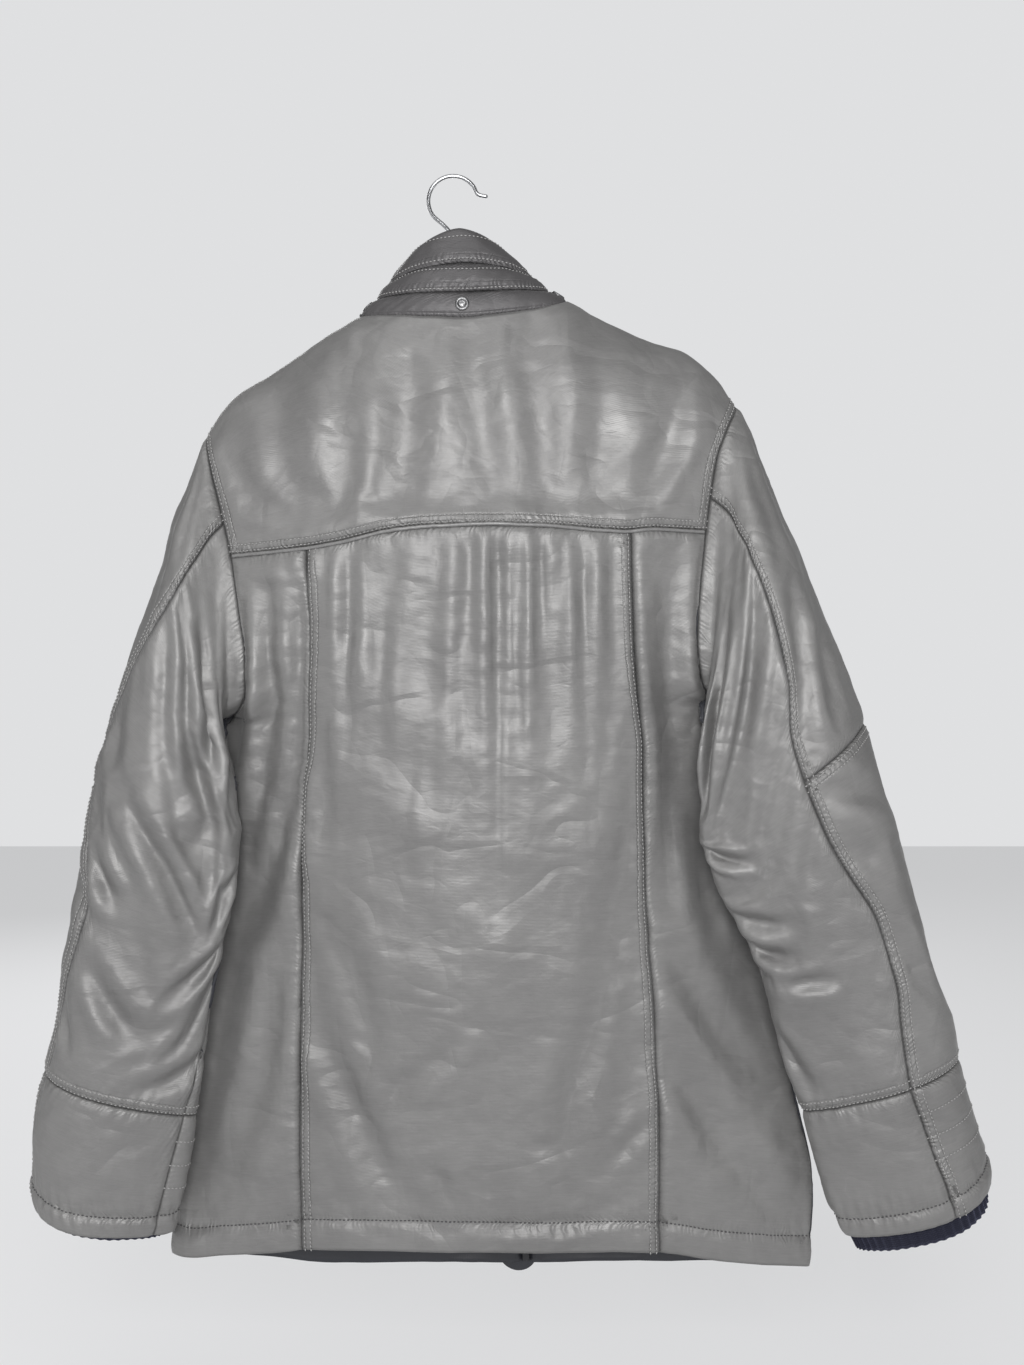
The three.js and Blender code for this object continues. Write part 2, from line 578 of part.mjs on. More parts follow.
// A closed wall from a grid of outer points and normals
function wallGeometry(grid, cloth, closed = false) {
  const rows = grid.length;
  const columns = grid[0].length;
  const outer = grid.map((row) => row.map((cell) => cell.point.clone()));
  const thickness = (r, c) => (typeof cloth === "function" ? cloth(r, c) : cloth);
  const inner = grid.map((row, r) =>
    row.map((cell, c) => cell.point.clone().addScaledVector(cell.normal, -thickness(r, c))),
  );
  insetEdges(outer, inner, closed);
  const vertices = [];
  [outer, inner].forEach((layer) => layer.forEach((row) => row.forEach((p) => vertices.push(p.x, p.y, p.z))));
  const out = (r, c) => r * columns + (c % columns);
  const into = (r, c) => rows * columns + r * columns + (c % columns);
  const faces = [];
  const quad = (a, b, c, d) => faces.push([a, b, c], [a, c, d]);
  const lastColumn = closed ? columns : columns - 1;
  for (let r = 0; r < rows - 1; r += 1) {
    for (let c = 0; c < lastColumn; c += 1) {
      quad(out(r, c), out(r + 1, c), out(r + 1, c + 1), out(r, c + 1));
      quad(into(r, c), into(r, c + 1), into(r + 1, c + 1), into(r + 1, c));
    }
  }
  for (let c = 0; c < lastColumn; c += 1) {
    quad(out(0, c), out(0, c + 1), into(0, c + 1), into(0, c));
    quad(out(rows - 1, c), into(rows - 1, c), into(rows - 1, c + 1), out(rows - 1, c + 1));
  }
  if (!closed) {
    for (let r = 0; r < rows - 1; r += 1) {
      quad(out(r, 0), into(r, 0), into(r + 1, 0), out(r + 1, 0));
      quad(out(r, columns - 1), out(r + 1, columns - 1), into(r + 1, columns - 1), into(r, columns - 1));
    }
  }
  return closedGeometry(vertices, faces);
}

// Pulls the edge points of both layers a little towards the middle of the piece
function insetEdges(outer, inner, closed) {
  const rows = outer.length;
  const columns = outer[0].length;
  const shifts = new Map();
  const add = (r, c, r2, c2) => {
    const shift = outer[r2][c2].clone().sub(outer[r][c]).setLength(SEAM_INSET);
    const key = r * columns + c;
    shifts.set(key, (shifts.get(key) ?? new THREE.Vector3()).add(shift));
  };
  for (let c = 0; c < columns; c += 1) {
    add(0, c, 1, c);
    add(rows - 1, c, rows - 2, c);
  }
  if (!closed) {
    for (let r = 0; r < rows; r += 1) {
      add(r, 0, r, 1);
      add(r, columns - 1, r, columns - 2);
    }
  }
  shifts.forEach((shift, key) => {
    const r = Math.floor(key / columns);
    const c = key % columns;
    outer[r][c].add(shift);
    inner[r][c].add(shift);
  });
}

// Turns the faces outward if the volume they hold comes out negative
function closedGeometry(vertices, faces) {
  const at = (i) => new THREE.Vector3().fromArray(vertices, i * 3);
  const volume = faces.reduce((sum, [a, b, c]) => sum + at(a).dot(at(b).cross(at(c))), 0);
  const index = faces.flatMap(([a, b, c]) => (volume < 0 ? [a, c, b] : [a, b, c]));
  const geometry = new THREE.BufferGeometry();
  geometry.setAttribute("position", new THREE.Float32BufferAttribute(vertices, 3));
  geometry.setIndex(index);
  geometry.computeVertexNormals();
  return geometry;
}

const finish = (color, roughness = 0.7, metalness = 0) =>
  new THREE.MeshStandardMaterial({ color, roughness, metalness });
const shell = finish(COLOURS.shell, 0.55);
const collarCloth = finish(COLOURS.collar, 0.6);

const jacket = new THREE.Group();

function addPiece(name, geometry, material) {
  const mesh = new THREE.Mesh(geometry, material);
  mesh.name = name;
  jacket.add(mesh);
}

// Cells of the sheets, from x and z
function sheetCell(isFront, x, z, withRelief) {
  const { mid, half } = across(z);
  const s = clamp((x - mid) / half, -1, 1);
  const point = sheetPoint(isFront, s, z);
  const normal = sheetNormal(isFront, s, z);
  if (withRelief) point.addScaledVector(normal, bodyRelief(x, z));
  return { point, normal };
}

// Column positions: side panels crowd towards the outer edge
const crowdOut = (count) =>
  Array.from({ length: count + 1 }, (_, i) => Math.sin((Math.PI / 2) * (i / count)));

function yokeBottom() {
  const leftX = YOKE_SEAM[0].x;
  const rightX = YOKE_SEAM[YOKE_SEAM.length - 1].x;
  const seamLeft = BACK_SEAM[0].left;
  const seamRight = BACK_SEAM[0].right;
  const out = crowdOut(SIDE_COLUMNS);
  const list = [...out].reverse().map((u) => mix(seamLeft, leftX, u));
  for (let c = 1; c < CENTRE_COLUMNS; c += 1) list.push(mix(seamLeft, seamRight, c / CENTRE_COLUMNS));
  out.forEach((u) => list.push(mix(seamRight, rightX, u)));
  return list;
}

// Columns of a front, crowded towards the side, and those along the shoulder seam
const frontSpread = Array.from(
  { length: FRONT_COLUMNS + 1 },
  (_, i) => 1 - Math.cos((Math.PI / 2) * (i / FRONT_COLUMNS)),
);
const shoulderShare = (i) => frontSpread[i] / frontSpread[SHOULDER_COLUMNS];

function makeYoke() {
  const bottomX = yokeBottom();
  const bottom = bottomX.map((x) => [x, shareOf(x, yokeSeam(x), false)]);
  const boundary = (side) => {
    const list = [];
    for (let i = SHOULDER_STEP; i > 0; i -= 1) list.push(armholeSample(side, i, true));
    for (let i = 0; i <= YOKE_STEP; i += 1) list.push(armholeSample(side, i, false));
    return list.map(({ x, p }) => [x, p]);
  };
  const left = boundary("left");
  const right = boundary("right");
  const neckColumns = bottomX.length - 1 - 2 * SHOULDER_COLUMNS;
  const neck = Array.from({ length: neckColumns + 1 }, (_, i) =>
    neckPoint(mix(-SHOULDER_TO_NECK_DEG, SHOULDER_TO_NECK_DEG, i / neckColumns)),
  ).map(({ x, p }) => [x, p]);
  const shoulder = (outer, inner) =>
    Array.from({ length: SHOULDER_COLUMNS }, (_, i) => {
      const t = shoulderShare(i);
      return [mix(outer[0], inner[0], t), mix(outer[1], inner[1], t)];
    });
  const top = [
    ...shoulder(left[0], neck[0]),
    ...neck,
    ...shoulder(right[0], neck[neckColumns]).reverse(),
  ];
  const grid = coons(top, bottom, left, right).map((row) =>
    row.map(([x, p]) => {
      const point = overPoint(x, p);
      const normal = overNormal(x, p);
      point.addScaledVector(normal, p > 0.6 ? bodyRelief(x, point.z) * ease(clamp(p - 0.6, 0, 1)) : 0);
      return { point, normal };
    }),
  );
  addPiece("yoke_back", wallGeometry(grid, CLOTH), shell);
}

// Heights down the side below the underarm
const lowerZ = (side, i) => mix(underarmZ[side], hemCornerZ[side], i / HEM_STEPS);

function sideLine(side, isFront, firstStep) {
  const list = [];
  for (let i = firstStep; i <= ARM_STEPS; i += 1) {
    const z = armholeHeight(side, i);
    list.push([edge[side].x(z), z]);
  }
  for (let i = 1; i <= HEM_STEPS; i += 1) {
    const z = lowerZ(side, i);
    list.push([edge[side].x(z), z]);
  }
  return list;
}

// A back seam as points, with the same rows as the side lines
function seamLine(side, rows) {
  const x0 = BACK_SEAM[0][side];
  const topZ = yokeSeam(x0);
  const bottomZ = backHem(BACK_SEAM[BACK_SEAM.length - 1][side]);
  return Array.from({ length: rows + 1 }, (_, i) => {
    const z = mix(topZ, bottomZ, i / rows);
    return [backSeam[side](z), z];
  });
}

function makeBackPanels() {
  const rows = ARM_STEPS - YOKE_STEP + HEM_STEPS;
  const bottomX = yokeBottom();
  const seams = { left: seamLine("left", rows), right: seamLine("right", rows) };
  seams.left[0][0] = BACK_SEAM[0].left;
  seams.right[0][0] = BACK_SEAM[0].right;
  const onSeam = (x) => [x, yokeSeam(x)];
  const cells = (grid) => grid.map((row) => row.map(([x, z]) => sheetCell(false, x, z, true)));
  const centreTop = bottomX.slice(SIDE_COLUMNS, SIDE_COLUMNS + CENTRE_COLUMNS + 1).map(onSeam);
  const hemLeft = seams.left[rows][0];
  const hemRight = seams.right[rows][0];
  const centreBottom = centreTop.map((_, c) => {
    const x = mix(hemLeft, hemRight, c / CENTRE_COLUMNS);
    return [x, backHem(x)];
  });
  const centre = coons(centreTop, centreBottom, seams.left, seams.right);
  addPiece("back_centre", wallGeometry(cells(centre), CLOTH), shell);
  const spread = crowdOut(SIDE_COLUMNS);
  ["left", "right"].forEach((side) => {
    const top = bottomX.slice(0, SIDE_COLUMNS + 1).reverse().map(onSeam);
    const list = side === "left" ? top : bottomX.slice(-SIDE_COLUMNS - 1).map(onSeam);
    const outer = sideLine(side, false, YOKE_STEP);
    const bottom = spread.map((u) => {
      const x = mix(seams[side][rows][0], outer[rows][0], u);
      return [x, mix(backHem(x), outer[rows][1], u === 1 ? 1 : 0)];
    });
    const grid = coons(list, bottom, seams[side], outer, spread);
    addPiece("back_side_" + side, wallGeometry(cells(grid), CLOTH), shell);
  });
}

function zipLine(rows) {
  const bottom = frontHem(middle.zip(-926));
  return Array.from({ length: rows + 1 }, (_, i) => mix(NECK_FRONT_Z, bottom, i / rows));
}

const besideZip = (offset, half) => 180 - (Math.asin(offset / half) * 180) / Math.PI;
const NECK_END_DEG = besideZip(ZIP_GAP_HALF, NECK_HALF);

function makeFronts() {
  const rows = ARM_STEPS - SHOULDER_STEP + HEM_STEPS;
  const spread = frontSpread;
  ["left", "right"].forEach((side) => {
    const sign = side === "left" ? -1 : 1;
    const outer = sideLine(side, true, SHOULDER_STEP);
    const zip = zipLine(rows).map((z) => [middle.zip(z) + sign * ZIP_GAP_HALF, z]);
    const neckSide = neckPoint(sign * SHOULDER_TO_NECK_DEG);
    zip[0] = [NECK_X + sign * ZIP_GAP_HALF, neckPoint(sign * NECK_END_DEG).z];
    const top = spread.map((_, c) => {
      if (c <= SHOULDER_COLUMNS) {
        const t = shoulderShare(c);
        const x = mix(outer[0][0], neckSide.x, t);
        const p = mix(shareOf(outer[0][0], outer[0][1], true), neckSide.p, t);
        return [x, overPoint(x, p).z];
      }
      const t = (c - SHOULDER_COLUMNS) / (FRONT_COLUMNS - SHOULDER_COLUMNS);
      const point = neckPoint(sign * mix(SHOULDER_TO_NECK_DEG, NECK_END_DEG, t));
      return [point.x, point.z];
    });
    const bottom = spread.map((u) => {
      const x = mix(outer[rows][0], zip[rows][0], u);
      return [x, u === 0 ? outer[rows][1] : frontHem(x)];
    });
    zip[rows] = bottom[FRONT_COLUMNS];
    const grid = coons(top, bottom, outer, zip, spread).map((row) =>
      row.map(([x, z]) => sheetCell(true, x, z, false)),
    );
    addPiece("front_" + side, wallGeometry(grid, CLOTH), shell);
  });
}

// Collar
const COLLAR_NAMES = ["half", "backY", "backZ", "sideY", "sideZ", "frontY", "frontZ"];
const collarAt = readers(COLLAR_RINGS, "t", COLLAR_NAMES);

// A point of the ring that the table gives, before it is led to the neckline
function collarRing(degrees, t, sideLift) {
  const angle = rad(degrees);
  const turn = Math.cos(angle);
  const isFront = turn < 0;
  const x = NECK_X + collarAt.half(t) * Math.sin(angle) - COLLAR_LEAN * t;
  const y = isFront
    ? mix(collarAt.sideY(t), collarAt.frontY(t), (-turn) ** 0.6)
    : mix(collarAt.backY(t), collarAt.sideY(t), 1 - turn ** 0.9);
  const z = isFront
    ? mix(collarAt.sideZ(t), collarAt.frontZ(t), -turn)
    : mix(collarAt.backZ(t), collarAt.sideZ(t), (1 - turn) ** mix(1, 0.75, t));
  return new THREE.Vector3(x, y, z + sideLift * Math.sin(angle));
}

function collarPoint(degrees, t) {
  const ring = collarRing(degrees, t, COLLAR_TILT * (1 - t));
  const neck = neckPoint(degrees);
  const apart = overPoint(neck.x, neck.p).sub(collarRing(degrees, 0, COLLAR_TILT));
  return ring.addScaledVector(apart, 1 - ease(clamp(t / COLLAR_SETTLE, 0, 1)));
}

function collarNormal(degrees, t) {
  const alongAngle = collarPoint(degrees + 0.5, t).sub(collarPoint(degrees - 0.5, t));
  const alongT = collarPoint(degrees, Math.min(t + 0.01, 1)).sub(collarPoint(degrees, Math.max(t - 0.01, 0)));
  return crossNormal(alongAngle, alongT, 1);
}

const NECK_COLUMNS = 2 * SIDE_COLUMNS + CENTRE_COLUMNS - 2 * SHOULDER_COLUMNS;
const NECK_COLUMN_DEG = (2 * SHOULDER_TO_NECK_DEG) / NECK_COLUMNS;

function collarAngles(t) {
  const back = Array.from(
    { length: NECK_COLUMNS + 1 },
    (_, i) => i * NECK_COLUMN_DEG - SHOULDER_TO_NECK_DEG,
  );
  const count = FRONT_COLUMNS - SHOULDER_COLUMNS;
  const front = Array.from({ length: count }, (_, i) =>
    mix(SHOULDER_TO_NECK_DEG, besideZip(ZIP_GAP_HALF, collarAt.half(t)), (i + 1) / count),
  );
  return [...front.map((a) => -a).reverse(), ...back, ...front];
}

function makeCollar() {
  const names = ["collar_base", "collar_middle", "collar_upper"];
  const rowsPerBand = 2;
  names.forEach((name, band) => {
    const grid = [];
    for (let r = 0; r <= rowsPerBand; r += 1) {
      const t = mix(COLLAR_SEAMS[band], COLLAR_SEAMS[band + 1], r / rowsPerBand);
      const clear = band === 0 && r === 0 ? COLLAR_START : t;
      grid.push(
        collarAngles(t).map((degrees) => ({
          point: collarPoint(degrees, clear),
          normal: collarNormal(degrees, clear),
        })),
      );
    }
    addPiece(name, wallGeometry(grid, COLLAR_CLOTH), collarCloth);
  });
}

function makeZip() {
  const grid = [];
  const offsets = [-1, 0, 1];
  const cell = (point, normal) => ({ point: point.addScaledVector(normal, -ZIP_SINK), normal });
  for (let r = 0; r <= ZIP_COLLAR_ROWS; r += 1) {
    const t = mix(0.98, 0.06, r / ZIP_COLLAR_ROWS);
    grid.push(
      offsets.map((o) => {
        const degrees = besideZip(o * ZIP_HALF, collarAt.half(t));
        return cell(collarPoint(degrees, t), collarNormal(degrees, t));
      }),
    );
  }
  zipLine(ZIP_ROWS).slice(1).forEach((z) => {
    grid.push(
      offsets.map((o) => {
        const { point, normal } = sheetCell(true, middle.zip(z) + o * ZIP_HALF, z, false);
        return cell(point, normal);
      }),
    );
  });
  addPiece("zip", wallGeometry(grid, ZIP_CLOTH), finish(COLOURS.zip, 0.5));
}

function makePlacket() {
  const { from, to, columns, rows, topZ, drop, cornerRise } = PLACKET;
  const halfWidth = (to - from) / 2;
  const grid = [];
  for (let r = 0; r <= rows; r += 1) {
    const row = [];
    for (let c = 0; c <= columns; c += 1) {
      const u = -Math.cos((Math.PI * c) / columns);
      const round = Math.sqrt(1 - u * u * 0.98);
      const hemZ = frontHem(PLACKET.hemX) + cornerRise - (cornerRise + drop) * round;
      const z = mix(topZ, hemZ, r / rows);
      const x = middle.zip(z) + (from + to) / 2 + u * halfWidth;
      const { point, normal } = sheetCell(true, x, z, false);
      point.addScaledVector(normal, PLACKET_LIFT + PLACKET_CLOTH);
      row.push({ point, normal });
    }
    grid.push(row);
  }
  addPiece("placket", wallGeometry(grid, PLACKET_CLOTH), shell);
}

// Sleeves
const BACK_COLUMN = BACK_SEAM_STEP;
const FRONT_COLUMN = 2 * ARM_STEPS - FRONT_SEAM_STEP;
const ROUND_COLUMNS = 2 * ARM_STEPS;

function sleeveAngle(side, c, s) {
  const at = sleeveAt[side];
  const position = c < BACK_COLUMN ? c + ROUND_COLUMNS : c;
  if (position <= FRONT_COLUMN) {
    const t = (position - BACK_COLUMN) / (FRONT_COLUMN - BACK_COLUMN);
    return mix(at.backSeam(s), at.frontSeam(s), t);
  }
  const t = (position - FRONT_COLUMN) / (ROUND_COLUMNS + BACK_COLUMN - FRONT_COLUMN);
  return mix(at.frontSeam(s), 360 + at.backSeam(s), t);
}

function tubePoint(side, degrees, s, shrink = 0) {
  const at = sleeveAt[side];
  const outer = new THREE.Vector3(at.outX(s), at.outY(s), at.outZ(s));
  const inner = new THREE.Vector3(at.inX(s), at.inY(s), at.inZ(s));
  const centre = outer.clone().add(inner).multiplyScalar(0.5);
  const half = outer.clone().sub(inner).multiplyScalar(0.5);
  half.setLength(half.length() - shrink);
  const a = Math.cos(rad(degrees));
  const wave = Math.sin(rad(degrees)) * (1 + 0.4 * a);
  const b = wave < 0 ? wave * FRONT_FLATTER : wave;
  const depth = at.depth(s) - shrink;
  return centre.addScaledVector(half, a).add(new THREE.Vector3(0, -depth * b, -at.dip(s) * b));
}

function sleeveRelief(side, degrees, s) {
  const angle = ((degrees % 360) + 360) % 360;
  return SLEEVE_FOLDS[side].reduce((sum, fold) => {
    const ds = fold.s2 - fold.s1;
    const da = (fold.a2 - fold.a1) / 30;
    const t = clamp(((s - fold.s1) * ds + ((angle - fold.a1) / 30) * da) / (ds * ds + da * da), 0, 1);
    const away = Math.hypot(s - fold.s1 - t * ds, (angle - fold.a1) / 30 - t * da) / fold.width;
    return sum - fold.depth * Math.exp(-away * away * 0.6);
  }, 0);
}

function loopPoint(side, c) {
  const loop = loops[side];
  const wrapped = ((c % ROUND_COLUMNS) + ROUND_COLUMNS) % ROUND_COLUMNS;
  const i = Math.floor(wrapped);
  return loop[i].point.clone().lerp(loop[(i + 1) % ROUND_COLUMNS].point, wrapped - i);
}

function sleevePoint(side, c, s) {
  const wrapped = ((c % ROUND_COLUMNS) + ROUND_COLUMNS) % ROUND_COLUMNS;
  const point = tubePoint(side, sleeveAngle(side, wrapped, s), s);
  if (s < SETTLE.z) {
    const keep = (stations) => Math.max(0, 1 - s / stations) ** 2;
    const start = tubePoint(side, sleeveAngle(side, wrapped, 0), 0);
    const apart = loopPoint(side, c).sub(start);
    point.add(apart.multiply(new THREE.Vector3(keep(SETTLE.x), keep(SETTLE.y), keep(SETTLE.z))));
  }
  return point;
}

function sleeveCell(side, c, s) {
  const column = ((c % ROUND_COLUMNS) + ROUND_COLUMNS) % ROUND_COLUMNS;
  const point = sleevePoint(side, column, s);
  const around = sleevePoint(side, column + 0.05, s).sub(sleevePoint(side, column - 0.05, s));
  const last = LAST_STATION;
  const down = sleevePoint(side, column, Math.min(s + 0.02, last)).sub(
    sleevePoint(side, column, Math.max(s - 0.02, 0)),
  );
  const normal = crossNormal(around, down, side === "left" ? -1 : 1);
  if (s === 0) {
    // Along the seam the wall follows the body's, except under the arm, where the two fold apart.
    const seam = loops[side][column].normal;
    const follow = clamp(seam.dot(normal) * 2.5, 0, 1);
    return { point, normal: normal.lerp(seam, follow).normalize() };
  }
  const degrees = sleeveAngle(side, column, s);
  const fade = clamp(s / 2, 0, 1) * clamp((CUFF_STATION - s) / 1.5, 0, 1);
  point.addScaledVector(normal, sleeveRelief(side, degrees, s) * fade);
  return { point, normal };
}

const stations = (from, to, step) =>
  Array.from({ length: Math.round((to - from) / step) + 1 }, (_, i) => from + i * step);

function makeSleeve(side) {
  const piece = (name, columns, list) => {
    const grid = list.map((s) => columns.map((c) => sleeveCell(side, c, s)));
    addPiece(name + "_" + side, wallGeometry(grid, CLOTH), shell);
  };
  const under = Array.from({ length: FRONT_COLUMN - BACK_COLUMN + 1 }, (_, i) => BACK_COLUMN + i);
  const top = Array.from(
    { length: ROUND_COLUMNS - FRONT_COLUMN + BACK_COLUMN + 1 },
    (_, i) => FRONT_COLUMN + i,
  );
  const lower = stations(ELBOW_STATION, CUFF_STATION, LOWER_STEP);
  const cuff = stations(CUFF_STATION, LAST_STATION, 1);
  piece("sleeve_under", under, [...UPPER_STATIONS, ...lower.slice(1)]);
  piece("sleeve_top_upper", top, UPPER_STATIONS);
  piece("sleeve_top_lower", top, lower);
  piece("cuff_under", under, cuff);
  piece("cuff_top", top, cuff);
}

// Knitted inner cuff: a narrower tube that starts inside the sleeve and peeks out below it
function makeKnitCuff(side, reach) {
  const columns = 20;
  const at = sleeveAt[side];
  const last = LAST_STATION;
  const clear = CLOTH + KNIT_CLEAR;
  const list = [last - 2, last - 1, last];
  const axis = new THREE.Vector3(
    at.outX(last) + at.inX(last) - at.outX(last - 2) - at.inX(last - 2),
    0,
    at.outZ(last) + at.inZ(last) - at.outZ(last - 2) - at.inZ(last - 2),
  ).normalize();
  const ringAt = (s, beyond) =>
    Array.from({ length: columns }, (_, i) => {
      const degrees = (360 * i) / columns;
      const point = tubePoint(side, degrees, s, clear).addScaledVector(axis, beyond);
      const next = tubePoint(side, degrees + 2, s, clear).sub(tubePoint(side, degrees - 2, s, clear));
      return { point, normal: crossNormal(next, axis, side === "left" ? -1 : 1) };
    });
  const grid = [...list.map((s) => ringAt(s, 0)), ringAt(last, reach)];
  addPiece("knit_cuff_" + side, wallGeometry(grid, KNIT_CLOTH, true), finish(COLOURS.knit, 0.9));
}

// A rod along points: rings of the given radius with flat ends
function rodGeometry(points, radius, sides) {
  const vertices = [];
  const faces = [];
  let across0 = new THREE.Vector3(0.1, 1, 0.2);
  points.forEach((point, i) => {
    const before = points[Math.max(i - 1, 0)];
    const after = points[Math.min(i + 1, points.length - 1)];
    const along = after.clone().sub(before).normalize();
    across0 = across0.clone().addScaledVector(along, -across0.dot(along)).normalize();
    const other = new THREE.Vector3().crossVectors(along, across0);
    for (let k = 0; k < sides; k += 1) {
      const angle = (2 * Math.PI * k) / sides;
      const p = point
        .clone()
        .addScaledVector(across0, radius * Math.cos(angle))
        .addScaledVector(other, radius * Math.sin(angle));
      vertices.push(p.x, p.y, p.z);
    }
  });
  const at = (i, k) => i * sides + (k % sides);
  for (let i = 0; i < points.length - 1; i += 1) {
    for (let k = 0; k < sides; k += 1) {
      faces.push([at(i, k), at(i, k + 1), at(i + 1, k + 1)], [at(i, k), at(i + 1, k + 1), at(i + 1, k)]);
    }
  }
  const last = points.length - 1;
  for (let k = 1; k < sides - 1; k += 1) {
    faces.push([at(0, 0), at(0, k + 1), at(0, k)], [at(last, 0), at(last, k), at(last, k + 1)]);
  }
  return closedGeometry(vertices, faces);
}

function makePiping() {
  const points = yokeBottom()
    .slice(1, -1)
    .map((x) => {
      const { point, normal } = sheetCell(false, x, yokeSeam(x), false);
      return point.addScaledVector(normal, PIPING_RADIUS + 0.3);
    });
  addPiece("yoke_piping", rodGeometry(points, PIPING_RADIUS, 6), shell);
}

// Hanger: a shaped bar under the shoulders and a bent wire hook
function makeHanger() {
  const { from, to, steps } = HANGER_BAR;
  const section = [
    { y: -1, z: -0.28 },
    { y: -0.55, z: -0.06 },
    { y: 0, z: 0 },
    { y: 0.55, z: -0.06 },
    { y: 1, z: -0.28 },
    { y: 0.7, z: -1 },
    { y: -0.7, z: -1 },
  ];
  const vertices = [];
  const faces = [];
  for (let i = 0; i <= steps; i += 1) {
    const x = mix(from, to, i / steps);
    const slope = (ridge(x + 1) - ridge(x - 1)) / 2;
    const beside = clamp((Math.abs(x - NECK_X) - NECK_HALF - DROP_START) / DROP_LENGTH, 0, 1);
    const underNeck = UNDER_NECK_DROP * (1 - ease(beside));
    const top = ridge(x) - (CLOTH + HANGER_LIFT) * Math.hypot(1, slope) - underNeck;
    const shrink = mix(1, HANGER_BAR.endSize, Math.abs((2 * i) / steps - 1) ** 4);
    section.forEach((corner) => {
      const y = HANGER_Y + corner.y * HANGER_HALF_DEPTH * shrink;
      vertices.push(x, y, top + corner.z * HANGER_HEIGHT * shrink);
    });
  }
  const sides = section.length;
  const at = (i, k) => i * sides + (k % sides);
  for (let i = 0; i < steps; i += 1) {
    for (let k = 0; k < sides; k += 1) {
      faces.push([at(i, k), at(i, k + 1), at(i + 1, k + 1)], [at(i, k), at(i + 1, k + 1), at(i + 1, k)]);
    }
  }
  for (let k = 1; k < sides - 1; k += 1) {
    faces.push([at(0, 0), at(0, k + 1), at(0, k)], [at(steps, 0), at(steps, k), at(steps, k + 1)]);
  }
  addPiece("hanger_body", closedGeometry(vertices, faces), finish(COLOURS.wood, 0.5));

  const hookRadius = HOOK.radius;
  const centre = { x: HOOK.centreX, z: WIRE_RADIUS - hookRadius };
  const shankX = HOOK.shankX;
  const seat = ridge(shankX) - CLOTH - HANGER_LIFT - UNDER_NECK_DROP + HOOK.seatGap;
  const path = [
    new THREE.Vector3(shankX, HANGER_Y, seat),
    new THREE.Vector3(shankX, HANGER_Y, -75),
    new THREE.Vector3(shankX, -1, -58),
    new THREE.Vector3(-3.5, -0.5, -43.5),
  ];
  for (let degrees = 216; degrees >= 18; degrees -= 18) {
    const angle = rad(degrees);
    path.push(
      new THREE.Vector3(centre.x + hookRadius * Math.cos(angle), 0, centre.z + hookRadius * Math.sin(angle)),
    );
  }
  path.push(new THREE.Vector3(23.5, 0, -14.5), new THREE.Vector3(28.5, 0, -15.5));
  const curve = new THREE.CatmullRomCurve3(path, false, "centripetal");
  const wire = rodGeometry(curve.getSpacedPoints(36), WIRE_RADIUS, 8);
  addPiece("hanger_hook", wire, finish(COLOURS.chrome, 0.2, 1));
}

// Ring snaps on the lower collar band
function makeSnaps() {
  const profile = [
    [0, 0],
    [5.6, 0],
    [5.9, 0.9],
    [5.2, 1.9],
    [3.6, 1.9],
    [2.9, 1.1],
    [0, 1.1],
  ].map(([r, h]) => new THREE.Vector2(r, h));
  // A column of the collar's grid lies at each of these angles.
  const places = [
    { name: "snap_back", degrees: 0 },
    { name: "snap_left", degrees: -NECK_COLUMN_DEG * 7 },
    { name: "snap_right", degrees: NECK_COLUMN_DEG * 7 },
  ];
  const t = COLLAR_SEAMS[1] / 2;
  const up = new THREE.Vector3(0, 1, 0);
  places.forEach(({ name, degrees }) => {
    const normal = collarNormal(degrees, t);
    const geometry = new THREE.LatheGeometry(profile, 20);
    geometry.applyQuaternion(new THREE.Quaternion().setFromUnitVectors(up, normal));
    const mesh = new THREE.Mesh(geometry, finish(COLOURS.snap, 0.3, 1));
    mesh.name = name;
    mesh.position.copy(collarPoint(degrees, t)).addScaledVector(normal, SNAP_LIFT);
    jacket.add(mesh);
  });
}

makeYoke();
makeBackPanels();
makeFronts();
makeCollar();
makeZip();
makePlacket();
makeSleeve("left");
makeSleeve("right");
makeKnitCuff("left", KNIT_REACH.left);
makeKnitCuff("right", KNIT_REACH.right);
makePiping();
makeHanger();
makeSnaps();

export default jacket;
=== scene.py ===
import math
import time

import bmesh
import bpy
import numpy as np
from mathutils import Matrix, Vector
from mathutils.kdtree import KDTree


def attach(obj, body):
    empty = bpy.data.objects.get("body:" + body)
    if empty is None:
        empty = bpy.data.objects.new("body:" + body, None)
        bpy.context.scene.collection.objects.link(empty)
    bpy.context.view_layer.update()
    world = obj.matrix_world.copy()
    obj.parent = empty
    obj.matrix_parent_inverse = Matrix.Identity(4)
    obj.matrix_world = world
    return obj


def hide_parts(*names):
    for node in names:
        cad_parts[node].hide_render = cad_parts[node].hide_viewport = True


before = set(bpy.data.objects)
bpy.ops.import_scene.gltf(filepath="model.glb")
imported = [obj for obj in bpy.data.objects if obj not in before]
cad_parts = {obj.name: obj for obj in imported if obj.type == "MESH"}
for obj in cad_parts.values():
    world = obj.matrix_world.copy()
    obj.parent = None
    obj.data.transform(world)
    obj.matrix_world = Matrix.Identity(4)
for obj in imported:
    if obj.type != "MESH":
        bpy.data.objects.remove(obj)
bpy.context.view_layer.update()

startTime = time.time()
scene = bpy.context.scene


def report(text):
    print("jacket:", text, "at %.0f s" % (time.time() - startTime), flush=True)


# A padded jacket hung on a hanger, seen from its back. Tables are in millimetres, meshes in metres.

